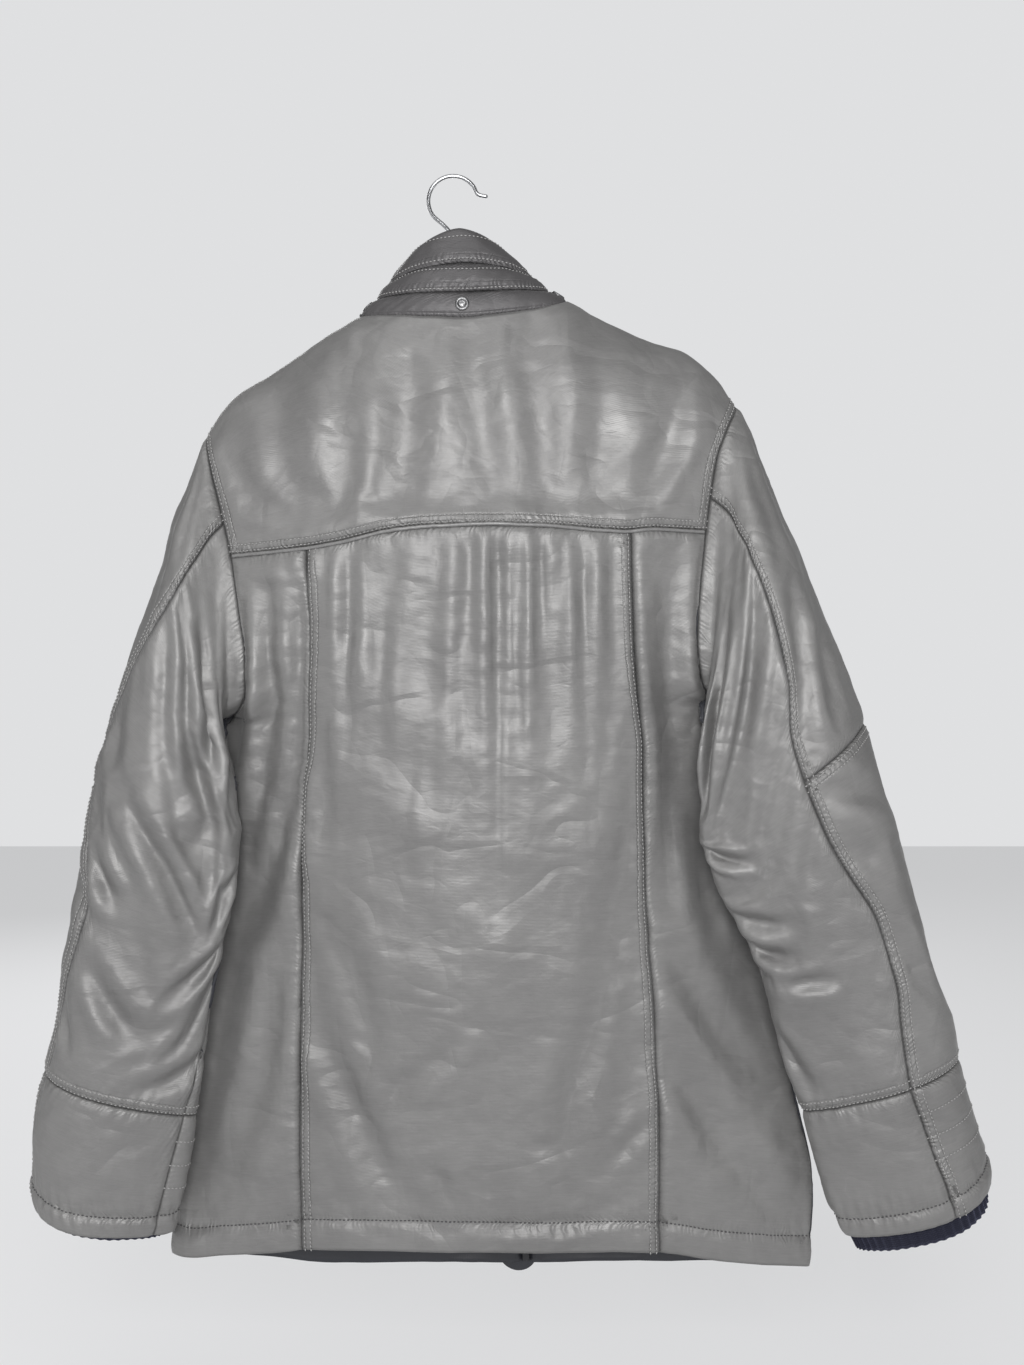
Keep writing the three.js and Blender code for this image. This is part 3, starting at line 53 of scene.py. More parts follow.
# camera, light and floor
view = {
    "cameraPlace": (0.0506, -1.265, -0.4254),
    "lens": 39.56,
    "floorHeight": -1.055,
    "floorSize": 9.0,
    "keyPower": 30.0,
    "topPower": 9.0,
    "sidePower": 5.0,
    "fillPower": 5.0,
    "frontPower": 22.0,
    "worldColour": (0.9, 0.905, 0.915),
    "worldStrength": 0.3,
    "seenColour": (0.74, 0.745, 0.755),
    "floorColour": (0.36, 0.36, 0.365),
    "floorGlow": 0.62,
}


def makeCamera():
    data = bpy.data.cameras.new("photoCamera")
    data.lens = view["lens"]
    data.sensor_width = 36
    data.clip_start = 0.01
    data.clip_end = 60
    camera = bpy.data.objects.new("photoCamera", data)
    camera.location = view["cameraPlace"]
    camera.rotation_euler = (math.radians(90), 0, 0)
    scene.collection.objects.link(camera)
    scene.camera = camera


def makeLight(name, place, target, size, power, colour=(1, 1, 1)):
    data = bpy.data.lights.new(name, "AREA")
    data.shape = "RECTANGLE"
    data.size, data.size_y = size
    data.energy = power
    data.color = colour
    light = bpy.data.objects.new(name, data)
    light.location = place
    light.rotation_euler = (Vector(target) - Vector(place)).to_track_quat("-Z", "Y").to_euler()
    scene.collection.objects.link(light)


def makeStage():
    world = bpy.data.worlds.new("paleStudio")
    world.use_nodes = True
    tree = world.node_tree
    background = tree.nodes["Background"]
    background.inputs["Color"].default_value = (*view["worldColour"], 1)
    kinds = ("Background", "LightPath", "MixShader")
    seen, path, share = (tree.nodes.new("ShaderNode" + kind) for kind in kinds)
    background.inputs["Strength"].default_value = view["worldStrength"]
    seen.inputs["Color"].default_value = (*view["seenColour"], 1)
    tree.links.new(path.outputs["Is Camera Ray"], share.inputs["Fac"])
    tree.links.new(background.outputs[0], share.inputs[1])
    tree.links.new(seen.outputs[0], share.inputs[2])
    tree.links.new(share.outputs[0], tree.nodes["World Output"].inputs["Surface"])
    scene.world = world
    scene.view_settings.view_transform = "Standard"
    half, low = view["floorSize"] / 2, view["floorHeight"]
    mesh = bpy.data.meshes.new("floor")
    corners = [(-half, -half, low), (half, -half, low), (half, half, low), (-half, half, low)]
    mesh.from_pydata(corners, [], [(0, 1, 2, 3)])
    floor = bpy.data.objects.new("floor", mesh)
    material = bpy.data.materials.new("paleFloor")
    material.use_nodes = True
    shader = material.node_tree.nodes["Principled BSDF"]
    shader.inputs["Base Color"].default_value = (*view["floorColour"], 1)
    shader.inputs["Roughness"].default_value = 0.9
    shader.inputs["Emission Color"].default_value = (*view["seenColour"], 1)
    shader.inputs["Emission Strength"].default_value = view["floorGlow"]
    mesh.materials.append(material)
    scene.collection.objects.link(floor)


makeCamera()
makeStage()
makeLight("keyLight", (0.02, -2.1, 0.05), (0.05, 0, -0.5), (0.75, 0.9), view["keyPower"])
makeLight("topLight", (-0.3, -1.0, 1.3), (0.05, 0, -0.45), (1.6, 0.8), view["topPower"])
makeLight("sideLight", (-1.9, -1.0, -0.1), (0.05, 0, -0.5), (0.6, 1.6), view["sidePower"])
makeLight("fillLight", (1.9, -1.2, -0.1), (0.05, 0, -0.5), (0.6, 1.6), view["fillPower"])
makeLight("frontLight", (-0.6, 2.2, 0.6), (0.05, 0, -0.5), (1.6, 1.2), view["frontPower"])

# sizes and lines of the jacket
cut = {
    "ridgeY": 2,  # the shoulder ridge lies in this plane
    "backArch": 95,
    "frontArch": 62,
    "sideRound": 5,
    "roundStart": 80,
    "neckX": 10,
    "neckHalf": 87,
    "neckBackZ": -125,
    "neckFrontZ": -195,
    "shoulderDeg": 110,
    "zipHalfGap": 3.2,
    "zipEndZ": -926,
    "collarSettle": 0.6,
    "collarLean": 3,
    "collarTilt": 5,
    "calmFrom": -340,  # below this height the sheet is a mean over its neighbourhood
    "calmOver": 50,
    "calmOffsets": range(-90, 91, 20),
    "sleeveSettle": (2.4, 2.2, 4),  # stations over which a sleeve leaves the armhole, for x, y and z
    "sleeveFlatter": 0.8,
}

sideEdge = {  # z, x, back, front
    "left": [
        (-120, -210, -22, 34), (-217.2, -207, -23, 34), (-250, -199.8, -24, 35),
        (-280, -191.5, -25, 36), (-320.7, -181.9, -26, 36), (-365, -175.5, -27, 36),
        (-406, -170.5, -26, 35), (-429, -170.5, -22, 34), (-441, -173, -17, 32),
        (-449, -177.5, -9, 30), (-453.5, -183, 2, 27), (-455, -189, 16, 16),
        (-470, -200, 23, 23), (-492, -207, 26, 26), (-612, -213.4, 28, 28),
        (-783, -225.2, 22, 22), (-909.5, -239.2, 10, 10),
    ],
    "right": [
        (-100, 243, -22, 34), (-191.8, 239.8, -23, 34), (-215, 229.4, -24, 35),
        (-241, 219.8, -25, 35), (-300.5, 211.1, -25, 36), (-354, 205.9, -27, 36),
        (-390, 204.5, -26, 35), (-414, 206.5, -22, 34), (-427, 209, -17, 32),
        (-434.5, 213, -9, 30), (-439, 219, 2, 27), (-440.4, 225, 16, 16),
        (-456, 236, 23, 23), (-478, 244, 26, 26), (-552, 252, 28, 28),
        (-699, 276, 24, 24), (-866, 308, 12, 12), (-920, 303, 8, 8),
    ],
}
middleLine = [  # z, back, front, zip
    (-100, -50, 42, 10), (-200, -54, 44, 10), (-300, -58, 45, 15),
    (-400, -60, 46, 21), (-500, -60, 46, 28), (-620, -55, 44, 38),
    (-740, -47, 41, 48), (-840, -38, 38, 56), (-940, -30, 35, 64),
]
ridgeLine = [  # x, z
    (-230, -226), (-207, -217.2), (-196.9, -203.7), (-185.1, -188.5), (-174.9, -180),
    (-157.2, -169.9), (-126.8, -150.5), (-94.7, -129.3), (-79.5, -117.5), (-30, -104),
    (10, -101), (60, -101), (92.8, -104), (117.3, -117.5), (145.2, -130.2),
    (170.5, -140.3), (196.7, -148.8), (213.6, -162.3), (228, -178.3), (239.8, -191.8),
    (260, -198),
]
yokeSeamLine = [  # x, z
    (-181.9, -320.7), (-120.5, -315.8), (-86.3, -310.8), (-52.7, -303.1), (-19.5, -299.3),
    (24.8, -297.4), (74.8, -298.1), (141.7, -301.8), (166.8, -299.4), (211.1, -300.5),
]
backSeamLine = [  # z, left, right
    (-290, -117.2, 147.4), (-390, -115.7, 150), (-480, -118.2, 158.4), (-520, -122.5, 159.7),
    (-600, -123.5, 162), (-690, -124.7, 167.7), (-795, -125.9, 172.3), (-910, -124, 172.8),
]
backHemLine = [  # x, z
    (-239.2, -909.5), (-225.2, -911.4), (-191.1, -906.8), (-147.1, -901.2), (-114.8, -896.4),
    (-50.5, -894), (12.5, -893.3), (124.5, -894.8), (175.5, -897.9), (214.8, -906),
    (260.6, -914.1), (303, -920),
]
frontHemLine = [  # x, z
    (-239.2, -909.5), (-190, -916), (-150, -921), (-110, -926), (30, -928),
    (130, -926), (200, -924), (303, -920),
]
collarRings = [  # t, half, backY, backZ, sideY, sideZ, frontY, frontZ
    (0, 87, -32, -125, 2, -110, 44, -195),
    (0.27, 73, -31, -104, 6, -99, 50, -178),
    (0.6, 63, -27, -79, 15, -90, 55, -160),
    (1, 54, -18, -48, 33, -86, 58, -138),
]
sleeveEdges = {  # s, outX, outZ, outY, inX, inZ, inY
    "left": [
        (0, -207, -217.2, 2, -189, -455, 16), (0.4, -212.6, -229.6, 2, -197, -459, 9),
        (1, -221.4, -250.1, 2, -196, -464, -8), (2, -236.1, -292.6, 0, -184, -482, -24),
        (3, -251.7, -343.3, -2, -174, -500, -29), (4, -267.2, -393.9, -4, -170, -522, -29),
        (5, -286, -452.7, -6, -169.5, -543.3, -25), (6, -298.8, -507.1, -8, -173.6, -569.8, -25),
        (7, -303.9, -555.7, -8, -177.3, -599.8, -23), (8, -313.6, -607.5, -9, -184.3, -632.5, -21),
        (9, -322.6, -657.6, -10, -193, -664.4, -19), (10, -327.6, -697.7, -10, -201.7, -706.4, -16),
        (11, -333.4, -724.5, -10, -208.8, -745.2, -14), (12, -339.3, -746.3, -10, -213.4, -785.8, -12),
        (13, -346, -774.7, -10, -216.7, -811.7, -12), (14, -348.5, -804, -10, -220.9, -836.8, -12),
        (15, -348.5, -829.1, -10, -225.9, -860.2, -12), (16, -347.5, -850.8, -10, -231.7, -881.1, -12),
    ],
    "right": [
        (0, 239.8, -191.8, 2, 225, -440.4, 16), (0.4, 247, -204.5, 2, 233, -444, 9),
        (1, 258.4, -227.3, 2, 212, -446, -14), (2, 273.2, -263.1, 0, 198, -466, -34),
        (3, 292.3, -307.9, -2, 197, -491, -38), (4, 311.2, -357.7, -4, 199, -520, -38),
        (5, 330.9, -406.5, -6, 200.6, -548.6, -33), (6, 348.1, -456.8, -8, 208.1, -565.2, -31),
        (7, 364, -507.1, -8, 217.5, -590.2, -28), (8, 378.8, -557.3, -9, 231.1, -615.4, -24),
        (9, 392, -607.4, -10, 246.5, -643.3, -21), (10, 403.7, -657.6, -10, 258.6, -677.1, -18),
        (11, 415.4, -699.4, -10, 271.6, -719.4, -15), (12, 422.9, -736.2, -10, 292, -782.5, -12),
        (13, 430.4, -768, -10, 297.9, -803.4, -12), (14, 438.8, -796.5, -10, 306.2, -827.6, -12),
        (15, 444.7, -816.5, -10, 313.7, -856, -12), (16, 448.9, -834.9, -10, 327.9, -884.4, -12),
    ],
}
sleeveSections = {  # s, depth, dip, backSeam, frontSeam
    "left": [
        (0, 31, 0, 64.3, 295.7), (0.4, 33, 0, 66, 292), (1, 36, 0, 69, 288), (2, 40, 0, 64, 278),
        (3, 42, 0, 52, 262), (4, 43, 0, 38, 246), (5, 43, 0, 25, 230), (6, 42, 0, 20, 214),
        (7, 41, 0, 27, 203), (8, 39, 0, 43, 195), (9, 37, 0, 35, 188), (10, 36, 1, 24, 181),
        (11, 35, 2, 26, 166), (12, 34, 3, 22, 152), (13, 34, 5, 15, 146), (14, 34, 7, 14, 142),
        (15, 34, 9, 15, 140), (16, 33, 11, 16, 140),
    ],
    "right": [
        (0, 31, 0, 64.3, 295.7), (0.4, 33, 0, 66, 292), (1, 36, 0, 69.6, 289), (2, 40, 0, 70, 281),
        (3, 42, 0, 71, 270), (4, 43, 0, 73, 259), (5, 43, 0, 81.5, 248), (6, 42, 0, 83.7, 238),
        (7, 41, 0, 82, 230), (8, 39, 0, 76.6, 223), (9, 37, 0, 68, 218), (10, 36, 1, 66, 214),
        (11, 35, 2, 71, 211), (12, 34, 3, 74.8, 210), (13, 34, 5, 71.6, 210), (14, 34, 7, 70, 210),
        (15, 34, 9, 67, 210), (16, 33, 11, 66.7, 210),
    ],
}

sideNames = ("left", "right")
armEnds = {"left": (-217.2, -455), "right": (-191.8, -440.4)}
hemCorner = {"left": -909.5, "right": -920}
elbowStation, cuffStation, endStation = 6, 12, 16
# columns round an armhole: down its back to the yoke seam and the pit, then up its front
yokeColumn, pitColumn, aroundArm = 6, 14, 28
backColumn, frontColumn = 5, 23  # where the sleeve's two seams start


def reader(rows, name):
    # smooth through a table without overshoot between its rows
    data = np.array(sorted(rows), float)
    xs, ys = data[:, 0], data[:, name]
    rise = np.diff(ys) / np.diff(xs)
    slopes = np.zeros_like(ys)
    both = rise[:-1] * rise[1:]
    safe = np.where(both > 0, rise[:-1] + rise[1:], 1)
    slopes[1:-1] = np.where(both > 0, 2 * both / safe, 0)
    slopes[0], slopes[-1] = rise[0], rise[-1]

    def read(value):
        v = np.clip(value, xs[0], xs[-1])
        i = np.clip(np.searchsorted(xs, v, side="left") - 1, 0, len(xs) - 2)
        span = xs[i + 1] - xs[i]
        t = (v - xs[i]) / span
        return (
            (2 * t**3 - 3 * t**2 + 1) * ys[i]
            + (t**3 - 2 * t**2 + t) * span * slopes[i]
            + (3 * t**2 - 2 * t**3) * ys[i + 1]
            + (t**3 - t**2) * span * slopes[i + 1]
        )

    return read


def mix(a, b, t):
    return a + (b - a) * t


def ease(t):
    return t * t * (3 - 2 * t)


edgeOf = {
    side: {name: reader(rows, k) for k, name in ((1, "x"), (2, "back"), (3, "front"))}
    for side, rows in sideEdge.items()
}
middleOf = {name: reader(middleLine, k) for k, name in ((1, "back"), (2, "front"), (3, "zip"))}
ridge = reader(ridgeLine, 1)
yokeSeam = reader(yokeSeamLine, 1)
backSeam = {"left": reader(backSeamLine, 1), "right": reader(backSeamLine, 2)}
backHem = reader(backHemLine, 1)
frontHem = reader(frontHemLine, 1)
ringNames = ("t", "half", "backY", "backZ", "sideY", "sideZ", "frontY", "frontZ")
collarOf = {name: reader(collarRings, k) for k, name in enumerate(ringNames) if k}
edgeNames = ("outX", "outZ", "outY", "inX", "inZ", "inY")
sectionNames = ("depth", "dip", "backSeam", "frontSeam")
sleeveOf = {
    side: {
        **{name: reader(sleeveEdges[side], k + 1) for k, name in enumerate(edgeNames)},
        **{name: reader(sleeveSections[side], k + 1) for k, name in enumerate(sectionNames)},
    }
    for side in sideNames
}


def across(z):
    left, right = edgeOf["left"]["x"](z), edgeOf["right"]["x"](z)
    return (left + right) / 2, (right - left) / 2


def sheetY(isFront, s, z):
    name = "front" if isFront else "back"
    s = np.clip(s, -1, 1)
    edgeY = mix(edgeOf["left"][name](z), edgeOf["right"][name](z), (s + 1) / 2)
    fullness = 1 - np.abs(s) ** 2.6 if isFront else (1 - s * s) ** 1.12
    start = mix(armEnds["left"][1], armEnds["right"][1], (s + 1) / 2) + cut["roundStart"]
    roundY = cut["sideRound"] * ease(np.clip((start - z) / cut["roundStart"], 0, 1)) * (1 if isFront else -1)
    share = np.sqrt(np.maximum(0, 1 - s**10))
    return edgeY + (middleOf[name](z) - edgeY - roundY) * fullness + roundY * share


def sheetPoint(isFront, x, z):
    mid, half = across(z)
    s = np.clip((x - mid) / half, -1, 1)
    height = cut["frontArch"] if isFront else cut["backArch"]
    q = np.clip((ridge(x) - z) / height, 0, 1)
    arch = np.sqrt(1 - (1 - q) ** 2)
    calm = 0  # a mean over the height, so that the flare under the arm leaves no step
    for step in cut["calmOffsets"]:
        mid, half = across(z + step)
        beside = sheetY(isFront, np.clip((x - mid) / half, -1, 1), z + step)
        calm = calm + beside / len(cut["calmOffsets"])
    share = (1 - np.abs(s) ** 6) * ease(np.clip((cut["calmFrom"] - z) / cut["calmOver"], 0, 1))
    y = cut["ridgeY"] + (mix(sheetY(isFront, s, z), calm, share) - cut["ridgeY"]) * arch
    return np.stack(np.broadcast_arrays(x, y, z), axis=-1)


def overPoint(x, p):
    # p runs from 0 on the shoulder ridge to 1 where the back arch ends; it is negative in front
    x, p = np.broadcast_arrays(np.asarray(x, float), np.asarray(p, float))
    height = np.where(p < 0, cut["frontArch"], cut["backArch"])
    turn = np.minimum(np.abs(p), 1) * math.pi / 2
    z = ridge(x) - height * (1 - np.cos(turn)) - np.maximum(np.abs(p) - 1, 0) * height
    mid, half = across(z)
    s = (x - mid) / half
    y = np.where(p < 0, sheetY(True, s, z), sheetY(False, s, z))
    return np.stack([x, cut["ridgeY"] + (y - cut["ridgeY"]) * np.sin(turn), z], axis=-1)


def shareOf(x, z, isFront):
    height = cut["frontArch"] if isFront else cut["backArch"]
    drop = np.maximum(ridge(x) - z, 0) / height
    p = np.where(drop < 1, np.arccos(np.clip(1 - drop, -1, 1)) / (math.pi / 2), drop)
    return -p if isFront else p


def armholeHeight(side, i):
    seamX = yokeSeamLine[0 if side == "left" else -1][0]
    seamZ = yokeSeam(seamX)
    tip, pit = armEnds[side]
    i = np.asarray(i, float)
    upper = mix(tip, seamZ, np.clip(i / yokeColumn, 0, 1) ** 1.6)
    lower = mix(seamZ, pit, 1 - (1 - np.clip((i - yokeColumn) / (pitColumn - yokeColumn), 0, 1)) ** 2)
    return np.where(i <= yokeColumn, upper, lower)


def armholePoint(side, i, isFront):
    z = armholeHeight(side, i)
    x = edgeOf[side]["x"](z)
    p = np.where(np.asarray(i) <= 0, 0, shareOf(x, z, isFront))
    high = overPoint(x, p)
    low = sheetPoint(isFront, x, z)
    return x, z, p, np.where((np.asarray(i) <= yokeColumn)[..., None], high, low)


def evenSteps(pointsOf, start, end, count):
    # values between start and end whose points are evenly spaced
    dense = np.linspace(start, end, 400)
    points = pointsOf(dense)
    length = np.concatenate([[0], np.cumsum(np.linalg.norm(np.diff(points, axis=0), axis=1))])
    return np.interp(np.linspace(0, length[-1], count + 1), length, dense)


def neckPoint(degrees):
    angle = np.radians(degrees)
    x = cut["neckX"] + cut["neckHalf"] * np.sin(angle)
    sideX = cut["neckX"] + cut["neckHalf"] * np.where(np.sin(angle) < 0, -1, 1)
    sideZ = ridge(sideX)
    front = mix(sideZ, cut["neckFrontZ"], -np.cos(angle))
    back = np.minimum(mix(cut["neckBackZ"], sideZ, np.maximum(1 - np.cos(angle), 0) ** 0.7), ridge(x))
    isFront = np.abs(degrees) > 90
    z = np.where(isFront, front, back)
    return x, z, np.where(isFront, shareOf(x, z, True), shareOf(x, z, False))


def coons(top, bottom, left, right, spread=None):
    # a four-sided patch from its boundary lists
    columns, rows = len(top) - 1, len(left) - 1
    u = (np.linspace(0, 1, columns + 1) if spread is None else spread)[None, :, None]
    v = np.linspace(0, 1, rows + 1)[:, None, None]
    top, bottom = np.asarray(top)[None], np.asarray(bottom)[None]
    left, right = np.asarray(left)[:, None], np.asarray(right)[:, None]
    ruled = mix(top, bottom, v) + mix(left, right, u)
    corners = mix(mix(top[:, :1], top[:, -1:], u), mix(bottom[:, :1], bottom[:, -1:], u), v)
    return ruled - corners


def collarRing(degrees, t, lift):
    angle = np.radians(degrees)
    turn = np.cos(angle)
    isFront = turn < 0
    away, near = np.maximum(-turn, 0), np.maximum(turn, 0)
    x = cut["neckX"] + collarOf["half"](t) * np.sin(angle) - cut["collarLean"] * t
    y = np.where(
        isFront,
        mix(collarOf["sideY"](t), collarOf["frontY"](t), away**0.6),
        mix(collarOf["backY"](t), collarOf["sideY"](t), 1 - near**0.9),
    )
    z = np.where(
        isFront,
        mix(collarOf["sideZ"](t), collarOf["frontZ"](t), away),
        mix(collarOf["backZ"](t), collarOf["sideZ"](t), np.maximum(1 - turn, 0) ** mix(1, 0.75, t)),
    )
    return np.stack(np.broadcast_arrays(x, y, z + lift * np.sin(angle)), axis=-1)


def collarPoint(degrees, t):
    degrees, t = np.broadcast_arrays(np.asarray(degrees, float), np.asarray(t, float))
    ring = collarRing(degrees, t, cut["collarTilt"] * (1 - t))
    x, z, p = neckPoint(degrees)
    apart = overPoint(x, p) - collarRing(degrees, np.zeros_like(t), cut["collarTilt"])
    return ring + apart * (1 - ease(np.clip(t / cut["collarSettle"], 0, 1)))[..., None]


def sleeveAngle(side, c, s):
    at = sleeveOf[side]
    back, front = at["backSeam"](s), at["frontSeam"](s)
    position = np.where(c < backColumn, c + aroundArm, c)
    under = mix(back, front, (position - backColumn) / (frontColumn - backColumn))
    top = mix(front, 360 + back, (position - frontColumn) / (aroundArm + backColumn - frontColumn))
    return np.where(position <= frontColumn, under, top)


def tubePoint(side, degrees, s, shrink=0.0):
    at = sleeveOf[side]
    outer = np.stack(np.broadcast_arrays(at["outX"](s), at["outY"](s), at["outZ"](s)), axis=-1)
    inner = np.stack(np.broadcast_arrays(at["inX"](s), at["inY"](s), at["inZ"](s)), axis=-1)
    half = (outer - inner) / 2
    length = np.linalg.norm(half, axis=-1, keepdims=True)
    half = half * (length - shrink) / length
    a = np.cos(np.radians(degrees))
    wave = np.sin(np.radians(degrees)) * (1 + 0.4 * a)
    b = np.where(wave < 0, wave * cut["sleeveFlatter"], wave)
    depth = at["depth"](s) - shrink
    drop = np.stack(np.broadcast_arrays(0 * b, -depth * b, -at["dip"](s) * b), axis=-1)
    return (outer + inner) / 2 + half * a[..., None] + drop


def armLoop(side, c):
    c = np.mod(c, aroundArm)
    back = armholePoint(side, np.minimum(c, pitColumn), False)[3]
    front = armholePoint(side, np.clip(aroundArm - c, 0, pitColumn), True)[3]
    return np.where((c <= pitColumn)[..., None], back, front)


def sleevePoint(side, c, s):
    c, s = np.broadcast_arrays(np.mod(np.asarray(c, float), aroundArm), np.asarray(s, float))
    degrees = sleeveAngle(side, c, s)
    point = tubePoint(side, degrees, s)
    start = tubePoint(side, sleeveAngle(side, c, 0 * s), 0 * s)
    keep = np.stack([np.maximum(0, 1 - s / k) ** 2 for k in cut["sleeveSettle"]], axis=-1)
    return point + (armLoop(side, c) - start) * keep, degrees


report("surface functions ready")

# panels as grids
steps = {
    "topBack": 13, "toYoke": 4, "lowBack": 24, "lowFront": 28, "midFront": 9, "topFront": 5, "side": 82,
}
columnsOf = {"side": 14, "centre": 47, "shoulder": 18, "frontNeck": 10}
columnsOf["neck"] = 2 * columnsOf["side"] + columnsOf["centre"] - 2 * columnsOf["shoulder"]


def armSamples(side, isFront, columns, counts):
    # columns of an armhole, evenly spaced between each two of the given ones
    parts = [[columns[0]]]
    for start, end, count in zip(columns, columns[1:], counts):
        parts.append(evenSteps(lambda i: armholePoint(side, i, isFront)[3], start, end, count)[1:])
    return np.concatenate(parts)


backCounts = (steps["topBack"], steps["toYoke"], steps["lowBack"])
frontCounts = (steps["topFront"], steps["midFront"], steps["lowFront"])
backEnds = (0, backColumn, yokeColumn, pitColumn)
frontEnds = (0, 2, aroundArm - frontColumn, pitColumn)
backI = {side: armSamples(side, False, backEnds, backCounts) for side in sideNames}
frontI = {side: armSamples(side, True, frontEnds, frontCounts) for side in sideNames}
yokeRow = steps["topBack"] + steps["toYoke"]


def crowdOut(count):
    return np.sin(math.pi / 2 * np.arange(count + 1) / count)


def frontShare(i):
    return 1 - np.cos(math.pi / 2 * np.asarray(i) / 13)


def yokeBottom():
    left, right = backSeamLine[0][1], backSeamLine[0][2]
    out = crowdOut(columnsOf["side"])
    return np.concatenate([
        mix(left, yokeSeamLine[0][0], out[::-1]),
        np.linspace(left, right, columnsOf["centre"] + 1)[1:-1],
        mix(right, yokeSeamLine[-1][0], out),
    ])


def makeYokeGrid():
    bottomX = yokeBottom()
    bottom = np.stack([bottomX, shareOf(bottomX, yokeSeam(bottomX), False)], axis=-1)
    edges = {}
    for side in sideNames:
        front = armholePoint(side, frontI[side][1 : steps["topFront"] + 1][::-1], True)
        back = armholePoint(side, backI[side][: yokeRow + 1], False)
        edges[side] = np.stack([np.concatenate([front[k], back[k]]) for k in (0, 2)], axis=-1)
    x, z, p = neckPoint(np.linspace(-cut["shoulderDeg"], cut["shoulderDeg"], columnsOf["neck"] + 1))
    neck = np.stack([x, p], axis=-1)
    t = frontShare(np.arange(columnsOf["shoulder"]) * 9 / columnsOf["shoulder"]) / frontShare(9)
    leftTop = mix(edges["left"][0], neck[0], t[:, None])
    rightTop = mix(edges["right"][0], neck[-1], t[:, None])[::-1]
    grid = coons(np.concatenate([leftTop, neck, rightTop]), bottom, edges["left"], edges["right"])
    for _ in range(260):
        grid[1:-1, 1:-1] = (grid[:-2, 1:-1] + grid[2:, 1:-1] + grid[1:-1, :-2] + grid[1:-1, 2:]) / 4
    return overPoint(grid[..., 0], grid[..., 1])


def sideSeam(side):
    z = mix(armEnds[side][1], hemCorner[side], np.arange(1, steps["side"] + 1) / steps["side"])
    return np.stack([edgeOf[side]["x"](z), z], axis=-1)


def armEdge(side, isFront, first):
    i = (frontI if isFront else backI)[side][first:]
    z = armholeHeight(side, i)
    return np.concatenate([np.stack([edgeOf[side]["x"](z), z], axis=-1), sideSeam(side)])


def makeBackGrids():
    rows = steps["lowBack"] + steps["side"]
    bottomX = yokeBottom()
    onSeam = lambda x: np.stack([x, yokeSeam(x)], axis=-1)
    seams = {}
    for k, side in ((1, "left"), (2, "right")):
        x0 = backSeamLine[0][k]
        z = np.linspace(yokeSeam(x0), backHem(backSeamLine[-1][k]), rows + 1)
        seams[side] = np.stack([backSeam[side](z), z], axis=-1)
        seams[side][0, 0] = x0
    n, m = columnsOf["side"], columnsOf["centre"]
    hemX = np.linspace(seams["left"][-1, 0], seams["right"][-1, 0], m + 1)
    bottom = np.stack([hemX, backHem(hemX)], axis=-1)
    centre = coons(onSeam(bottomX[n : n + m + 1]), bottom, seams["left"], seams["right"])
    grids = {"back_centre": centre}
    spread = crowdOut(n)
    for side in sideNames:
        top = onSeam(bottomX[: n + 1][::-1] if side == "left" else bottomX[-n - 1 :])
        outer = armEdge(side, False, yokeRow)
        x = mix(seams[side][-1, 0], outer[-1, 0], spread)
        low = np.stack([x, np.where(spread == 1, outer[-1, 1], backHem(x))], axis=-1)
        grids["back_side_" + side] = coons(top, low, seams[side], outer, spread)
    return {name: sheetPoint(False, g[..., 0], g[..., 1]) for name, g in grids.items()}


def besideZip(offset, half):
    return 180 - math.degrees(math.asin(offset / half))


def zipEnd():
    return float(frontHem(middleOf["zip"](cut["zipEndZ"])))


def makeFrontGrids():
    rows = steps["midFront"] + steps["lowFront"] + steps["side"]
    n, m = columnsOf["shoulder"], columnsOf["frontNeck"]
    i = np.concatenate([np.arange(n + 1) * 9 / n, 9 + np.arange(1, m + 1) * 4 / m])
    spread = frontShare(i)
    neckEnd = besideZip(cut["zipHalfGap"], cut["neckHalf"])
    grids = {}
    for side, sign in (("left", -1), ("right", 1)):
        outer = armEdge(side, True, steps["topFront"])
        z = np.linspace(cut["neckFrontZ"], zipEnd(), rows + 1)
        zipEdge = np.stack([middleOf["zip"](z) + sign * cut["zipHalfGap"], z], axis=-1)
        x, nz, p = neckPoint(sign * np.array([cut["shoulderDeg"], neckEnd]))
        zipEdge[0] = (cut["neckX"] + sign * cut["zipHalfGap"], nz[1])
        t = frontShare(i[: n + 1]) / frontShare(9)
        startP = shareOf(outer[0, 0], outer[0, 1], True)
        topX = mix(outer[0, 0], x[0], t)
        topZ = overPoint(topX, mix(startP, p[0], t))[..., 2]
        deg = sign * mix(cut["shoulderDeg"], neckEnd, np.arange(1, m + 1) / m)
        neckX, neckZ, _ = neckPoint(deg)
        top = np.stack([np.concatenate([topX, neckX]), np.concatenate([topZ, neckZ])], axis=-1)
        hemX = mix(outer[-1, 0], zipEdge[-1, 0], spread)
        low = np.stack([hemX, np.where(spread == 0, outer[-1, 1], frontHem(hemX))], axis=-1)
        zipEdge[-1] = low[-1]
        grid = coons(top, low, outer, zipEdge, spread)
        grids["front_" + side] = sheetPoint(True, grid[..., 0], grid[..., 1])
    return grids


sleeveRows = np.concatenate([
    np.linspace(0, elbowStation, 47),
    np.linspace(elbowStation, cuffStation, 46)[1:],
    np.linspace(cuffStation, endStation, 21)[1:],
])


